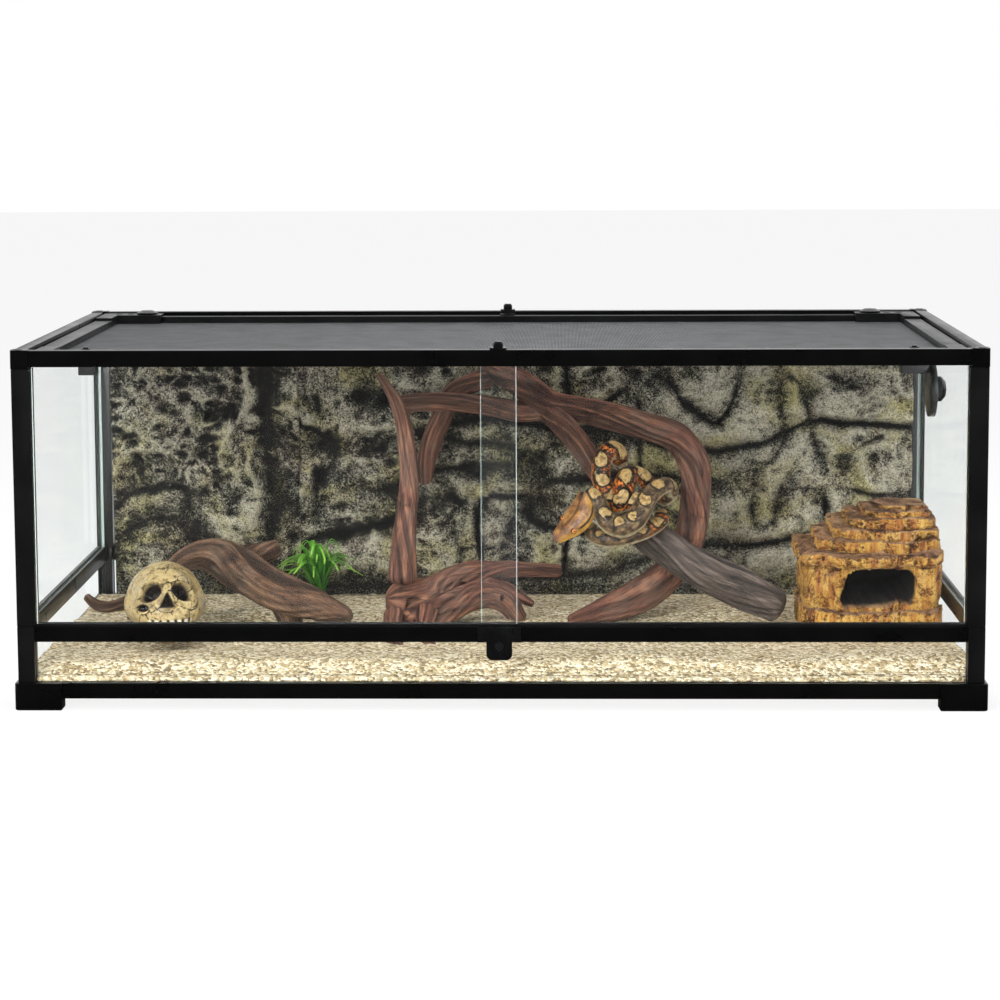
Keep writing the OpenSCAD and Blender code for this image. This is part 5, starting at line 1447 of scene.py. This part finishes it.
# ---------------------------------------------------------------- snake
@dataclass
class Snake:
    """A boa coiled where the grey limb leans on the arch: points of [x, y, z over the sand, thickness]."""
    radius: float = 12
    sides: int = 64
    eye_radius: float = 4.2

    BODY = [[110, -40, 189, 0.75], [121, -42, 189, 0.83], [129, -46, 179, 0.92], [134, -50, 165, 1.04],
            [144, -53, 152, 1.17], [161, -54, 148, 1.25], [177, -52, 157, 1.25], [187, -46, 171, 1.17],
            [196, -38, 186, 1.08], [209, -26, 196, 1.0], [221, -12, 198, 0.92], [228, 2, 187, 0.88],
            [220, 12, 176, 0.83], [204, 14, 186, 0.92], [188, 8, 205, 1.08], [172, 0, 209, 1.21],
            [163, -12, 196, 1.25], [162, -20, 181, 1.21], [152, -16, 172, 1.12], [143, -8, 184, 1.08],
            [134, -4, 200, 1.08], [132, 0, 217, 1.08], [136, 4, 233, 1.04], [145, 10, 244, 1.04],
            [156, 18, 238, 1.0], [160, 26, 221, 0.96]]
    UNDER = [[117, -14, 144, 0.75], [121, -32, 134, 0.83], [136, -42, 129, 0.92], [157, -44, 131, 1.0],
             [179, -40, 136, 1.0], [198, -30, 142, 0.96], [214, -16, 151, 0.83], [213, 0, 160, 0.75]]
    BEHIND = [[125, -10, 181, 0.92], [145, -7, 176, 1.08], [166, -20, 175, 1.0], [185, -22, 178, 0.95],
              [196, -20, 170, 0.83]]
    # the head from the neck to the snout: [x, y, z, half width, half height]
    HEAD = [[111, -40, 192, 8.5, 8], [109, -41, 186, 11, 9], [108, -42, 177, 16, 11],
            [106, -43, 167, 20, 12.5], [100, -44, 157, 20.5, 13], [92, -45, 148.5, 18, 12],
            [84, -45.5, 141.5, 14.5, 10.5], [77, -46, 135.5, 11.5, 8.5], [72, -46, 131, 9, 6.5],
            [70, -46, 129, 6, 4.5], [69, -46, 128, 1, 1]]
    BACK = np.array([0, -0.7, 0.71])              # the way the back of the body leans
    CROWN = np.array([-0.52, -0.77, 0.37])        # the way the top of the head faces
    EYES = ((0.52, 35), (0.52, 145))  # share along the head, and angle round it in degrees

    def tube(self, points: Sequence[Sequence[float]], start: float, vivid: float) -> Surface:
        """Body tube c(v) + r(v) (cos u n + sin u b), its back up and to the front.

        Args:
            points: The points it runs through.
            start: Length in metres at its first point, which sets where its saddles lie.
            vivid: Length in metres from which its colours are strong.
        Returns:
            Points, quads, UV, and the named values "belly" and "vivid".
        """
        raw = np.array(points, float)
        raw[:, 3] *= self.radius
        raw *= MM
        raw[:, 2] += SAND_Z
        c = spline(raw, 14)
        centre, radius = c[:, :3], c[:, 3]
        tangent = unit(np.gradient(centre, axis=0))
        back = unit(self.BACK - tangent * (tangent @ self.BACK)[:, None])
        across = np.cross(back, tangent)
        length = run_length(centre)
        r = radius * round_end(np.minimum(length, length[-1] - length) / (radius * 0.8))
        r[[0, -1]] = 0
        a = np.linspace(-math.pi, math.pi, self.sides + 1)
        p = centre[:, None] + r[:, None, None] * (np.cos(a)[None, :, None] * back[:, None]
                                                  + np.sin(a)[None, :, None] * across[:, None])
        uv = np.stack(np.broadcast_arrays(radius[:, None] * a[None], length[:, None] + start), -1)
        belly = np.broadcast_to(np.abs(a)[None] / math.pi, uv.shape[:2])
        strong = np.broadcast_to(smooth(vivid - 0.02, vivid + 0.02, length)[:, None], uv.shape[:2])
        return (p.reshape(-1, 3), grid_faces(len(c), self.sides + 1, False)[:, ::-1], uv.reshape(-1, 2),
                {"belly": belly.ravel(), "vivid": strong.ravel()})

    def head_rings(self) -> tuple[Array, Array, Array]:
        """Centres with half widths and heights along the head, its sideways and its upward unit vectors.

        Returns:
            Points of [x, y, z, half width, half height], and two unit vectors for each.
        """
        raw = np.array(self.HEAD, float) * MM
        raw[:, 2] += SAND_Z
        c = spline(raw, 14)
        tangent = unit(np.gradient(c[:, :3], axis=0))
        up = unit(self.CROWN - tangent * (tangent @ self.CROWN)[:, None])
        return c, np.cross(up, tangent), up

    def head(self) -> tuple[Array, Array, dict[str, Array]]:
        """Head: flattened rings, flatter under the jaw, striped behind each eye and down the crown.

        Returns:
            Points, quads, and the named values "mark", "gold" and "snout".
        """
        c, side, up = self.head_rings()
        c[[0, -1], 3:] = 0
        columns = 120
        a = np.arange(columns) / columns * 2 * math.pi
        w = np.sign(np.cos(a)) * np.abs(np.cos(a)) ** 0.9
        h = np.sign(np.sin(a)) * np.abs(np.sin(a)) ** 0.9 * np.where(np.sin(a) < 0, 0.8, 1)
        p = c[:, None, :3] + c[:, 3][:, None, None] * w[None, :, None] * side[:, None] \
            + c[:, 4][:, None, None] * h[None, :, None] * up[:, None]
        along = np.linspace(0, 1, len(c))[:, None]
        degrees = np.degrees(a)[None, :]
        mark = np.zeros((len(c), columns))
        for spot, angle in self.EYES:
            out = -1 if angle < 90 else 1       # from the eye the stripe runs back and down to the jaw
            line = angle + out * 85 * (spot - along)
            turn = np.abs((degrees - line + 180) % 360 - 180)
            stripe = smooth(9, 4, turn) * smooth(spot - 0.03, spot - 0.08, along)
            mark = np.maximum(mark, stripe * smooth(0.16, 0.24, along))
        crown = smooth(6, 2.5, np.abs(degrees - 90)) * smooth(0.7, 0.55, along)
        neck = smooth(22, 10, np.abs(degrees - 90)) * smooth(0.16, 0.06, along)
        mark = np.maximum(mark, np.maximum(0.7 * crown, neck))
        gold = smooth(0.9, -0.1, np.sin(a))[None, :] * np.ones((len(c), 1))
        snout = smooth(0.66, 0.92, along) * np.ones(columns)
        return p.reshape(-1, 3), grid_faces(len(c), columns, True), {
            "mark": mark.ravel(), "gold": gold.ravel(), "snout": snout.ravel()}

    def build(self, skin: bpy.types.Material, head_skin: bpy.types.Material, eye: bpy.types.Material) -> None:
        """Builds the body, the head and its eyes.

        Args:
            skin: Finish of the body.
            head_skin: Finish of the head.
            eye: Finish of the eyes.
        """
        coils = ((self.BODY, 0, 0.215), (self.UNDER, 0.41, 0.1), (self.BEHIND, 0.63, 0))
        body = join_surfaces("snake_body", [self.tube(*coil) for coil in coils])
        stand_in(body, skin, ["snake"])
        p, f, values = self.head()
        head = make_piece("snake_head", p, f, values=values)
        self.add(head, head_skin)
        c, side, up = self.head_rings()
        size = self.eye_radius * MM
        ball, quads = turned([(size * math.sin(t), -size * math.cos(t)) for t in np.linspace(0, math.pi, 25)],
                             48)
        for i, (spot, angle) in enumerate(self.EYES):
            k, turn = round(spot * (len(c) - 1)), math.radians(angle)
            out = math.cos(turn) * side[k] + math.sin(turn) * up[k]
            place = c[k, :3] + 0.9 * (math.cos(turn) * c[k, 3] * side[k] + math.sin(turn) * c[k, 4] * up[k])
            gaze = unit(out + np.array([0, -1.2, 0.2]))      # both look a little to the front
            slit = np.linalg.norm(np.cross(ball / size, gaze),
                                  axis=1) * (ball @ gaze > 0) + (ball @ gaze <= 0)
            bead = make_piece(f"snake_eye_{i}", ball + place, quads, values={"slit": slit})
            self.add(bead, eye)
        log.info("snake built")

    @staticmethod
    def add(piece: bpy.types.Object, material: bpy.types.Material) -> None:
        """Gives a small piece its finish and lets it stand with the tank.

        Args:
            piece: The piece.
            material: Its finish.
        """
        merge_doubles(piece)
        piece.data.materials.append(material)
        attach(piece, "tank")


# ---------------------------------------------------------------- studio
@dataclass
class Studio:
    """White studio: floor, world, lamps and the camera."""
    position: tuple[float, float, float] = (81.4, -3613.9, 775.6)
    pitch: float = 6.57
    yaw: float = 1.37
    roll: float = -0.26
    lens: float = 96.29
    shift: float = -0.10
    ambient: float = 0.42

    def camera(self) -> None:
        """Places the camera: forward is (-sin yaw cos pitch, cos yaw cos pitch, -sin pitch), then rolled."""
        p, w, r = (math.radians(v) for v in (self.pitch, self.yaw, self.roll))
        forward = np.array([-math.sin(w) * math.cos(p), math.cos(w) * math.cos(p), -math.sin(p)])
        right = np.array([math.cos(w), math.sin(w), 0])
        up = np.cross(right, forward)
        right, up = math.cos(r) * right + math.sin(r) * up, math.cos(r) * up - math.sin(r) * right
        data = bpy.data.cameras.new("camera")
        data.lens, data.sensor_width, data.shift_y = self.lens, 36, self.shift
        data.clip_start, data.clip_end = 0.1, 60
        camera = bpy.data.objects.new("camera", data)
        m = Matrix(np.column_stack([right, up, -forward]).tolist()).to_4x4()
        m.translation = Vector(self.position) * MM
        camera.matrix_world = m
        bpy.context.scene.collection.objects.link(camera)
        bpy.context.scene.camera = camera

    def lamp(self, name: str, place: tuple[float, float, float], size: float, power: float) -> None:
        """Adds a square soft lamp that points at the middle of the tank.

        Args:
            name: Its name.
            place: Its place, in metres.
            size: Its side, in metres.
            power: Its power, in watts.
        """
        data = bpy.data.lights.new(name, "AREA")
        data.shape, data.size, data.energy = "SQUARE", size, power
        lamp = bpy.data.objects.new(name, data)
        lamp.location = place
        lamp.rotation_euler = (Vector((0, 0, 0.2)) - Vector(place)).to_track_quat("-Z", "Y").to_euler()
        lamp.visible_glossy = False      # black plastic mirrors the studio, not the lamps
        bpy.context.scene.collection.objects.link(lamp)

    def world(self) -> None:
        """White to the camera and through glass; in reflections white behind and above, dim in front."""
        world = bpy.data.worlds.new("white")
        bpy.context.scene.world = world
        world.use_nodes = True
        tree = world.node_tree
        back = tree.nodes["Background"]
        feed(tree, back, Color=(1, 1, 1, 1))
        path = put(tree, "LightPath")
        seen = put(tree, "Math", path.outputs["Is Camera Ray"], path.outputs["Is Transmission Ray"],
                   operation="MAXIMUM")
        way = put(tree, "SeparateXYZ", Vector=put(tree, "TexCoord").outputs["Generated"])
        behind = put(tree, "MapRange", Value=way.outputs["Y"], From_Min=-0.3, From_Max=0.7, To_Min=0.03,
                     To_Max=1.0)
        mirrored = put(tree, "Math", path.outputs["Is Glossy Ray"], behind, operation="MULTIPLY")
        plain = put(tree, "Math", put(tree, "Math", 1.0, path.outputs["Is Glossy Ray"], operation="SUBTRACT"),
                    self.ambient, operation="MULTIPLY")
        feed(tree, back, Strength=put(tree, "Math", seen, put(tree, "Math", mirrored, plain, operation="ADD"),
                                      operation="MAXIMUM"))

    def floor(self) -> None:
        """A pale floor that stays white to the eye and keeps a soft shadow."""
        points = np.array([[-14, -9, 0], [14, -9, 0], [14, 14, 0], [-14, 14, 0]], float)
        floor = make_piece("studio_floor", points, [[0, 1, 2, 3]], smooth_shade=False)
        material, tree, shader, output = new_material("white_paper_floor")
        feed(tree, shader, Base_Color=rgb("#f2f2f2"), Roughness=0.9)
        path = put(tree, "LightPath")
        seen = put(tree, "Math", path.outputs["Is Camera Ray"], path.outputs["Is Transmission Ray"],
                   operation="MAXIMUM")
        glow = put(tree, "Emission", Color=(1, 1, 1, 1), Strength=1.06)
        mix = put(tree, "MixShader", put(tree, "Math", seen, 0.8, operation="MULTIPLY"), shader, glow)
        dim = put(tree, "Emission", Color=(1, 1, 1, 1), Strength=0.03)
        mirrored = put(tree, "Math", path.outputs["Is Glossy Ray"], path.outputs["Is Transmission Ray"],
                       operation="SUBTRACT")
        both = put(tree, "MixShader", mirrored, mix, dim)
        feed(tree, output, Surface=both)
        floor.data.materials.append(material)

    def build(self) -> None:
        """Builds the studio."""
        self.camera()
        self.world()
        self.floor()
        self.lamp("key", (-1.2, -2.7, 1.3), 1.4, 66)
        self.lamp("fill", (1.9, -2.6, 0.9), 1.6, 24)
        self.lamp("top", (0.1, -0.15, 1.9), 1.1, 40)
        bpy.context.scene.view_settings.view_transform = "Standard"


def main() -> None:
    """Builds the studio and then the terrarium's sub-assemblies, in the order they are put together."""
    logging.basicConfig(level=logging.INFO, format="%(name)s: %(message)s")
    Studio().build()
    finishes = Finishes()
    Enclosure(finishes).build()
    rock = PaintedRock("painted_resin_rock").make()
    BackgroundPanel("background_left", PanelStyle.RIDGED, 2.0 * MM).build(rock)
    BackgroundPanel("background_right", PanelStyle.BLOCKY, 2.05 * MM).build(rock)
    SandBed().build(QuartzSand().make())
    red = Driftwood("driftwood_red_brown", "#35201a", "#74493a", "#a87656", "#7a6558").make()
    root = Driftwood("driftwood_root", "#30221a", "#6a4c38", "#94765c", "#7a6a5c").make()
    grey = Driftwood("driftwood_weathered_grey", "#2a2421", "#574a43", "#8a7c73", "#6c625c").make()
    DriftwoodPiece("driftwood_root", "wood", ROOT, (-409.5, 0), seed=11).build(root)
    DriftwoodPiece("driftwood_log", "wood", LOG, seed=23).build(red)
    DriftwoodPiece("driftwood_arch", "wood", ARCH, seed=37).build(red)
    DriftwoodPiece("driftwood_limb", "grey_wood", GREY, seed=51).build(grey)
    SkullHide().build(CastResinBone().make())
    CaveHide().build(LayeredSandstone().make())
    GrassTuft().build(MouldedLeaf().make())
    Snake().build(SnakeSkin().make(), SnakeHead().make(), EyeLens().make())


if __name__ == "__main__":
    main()
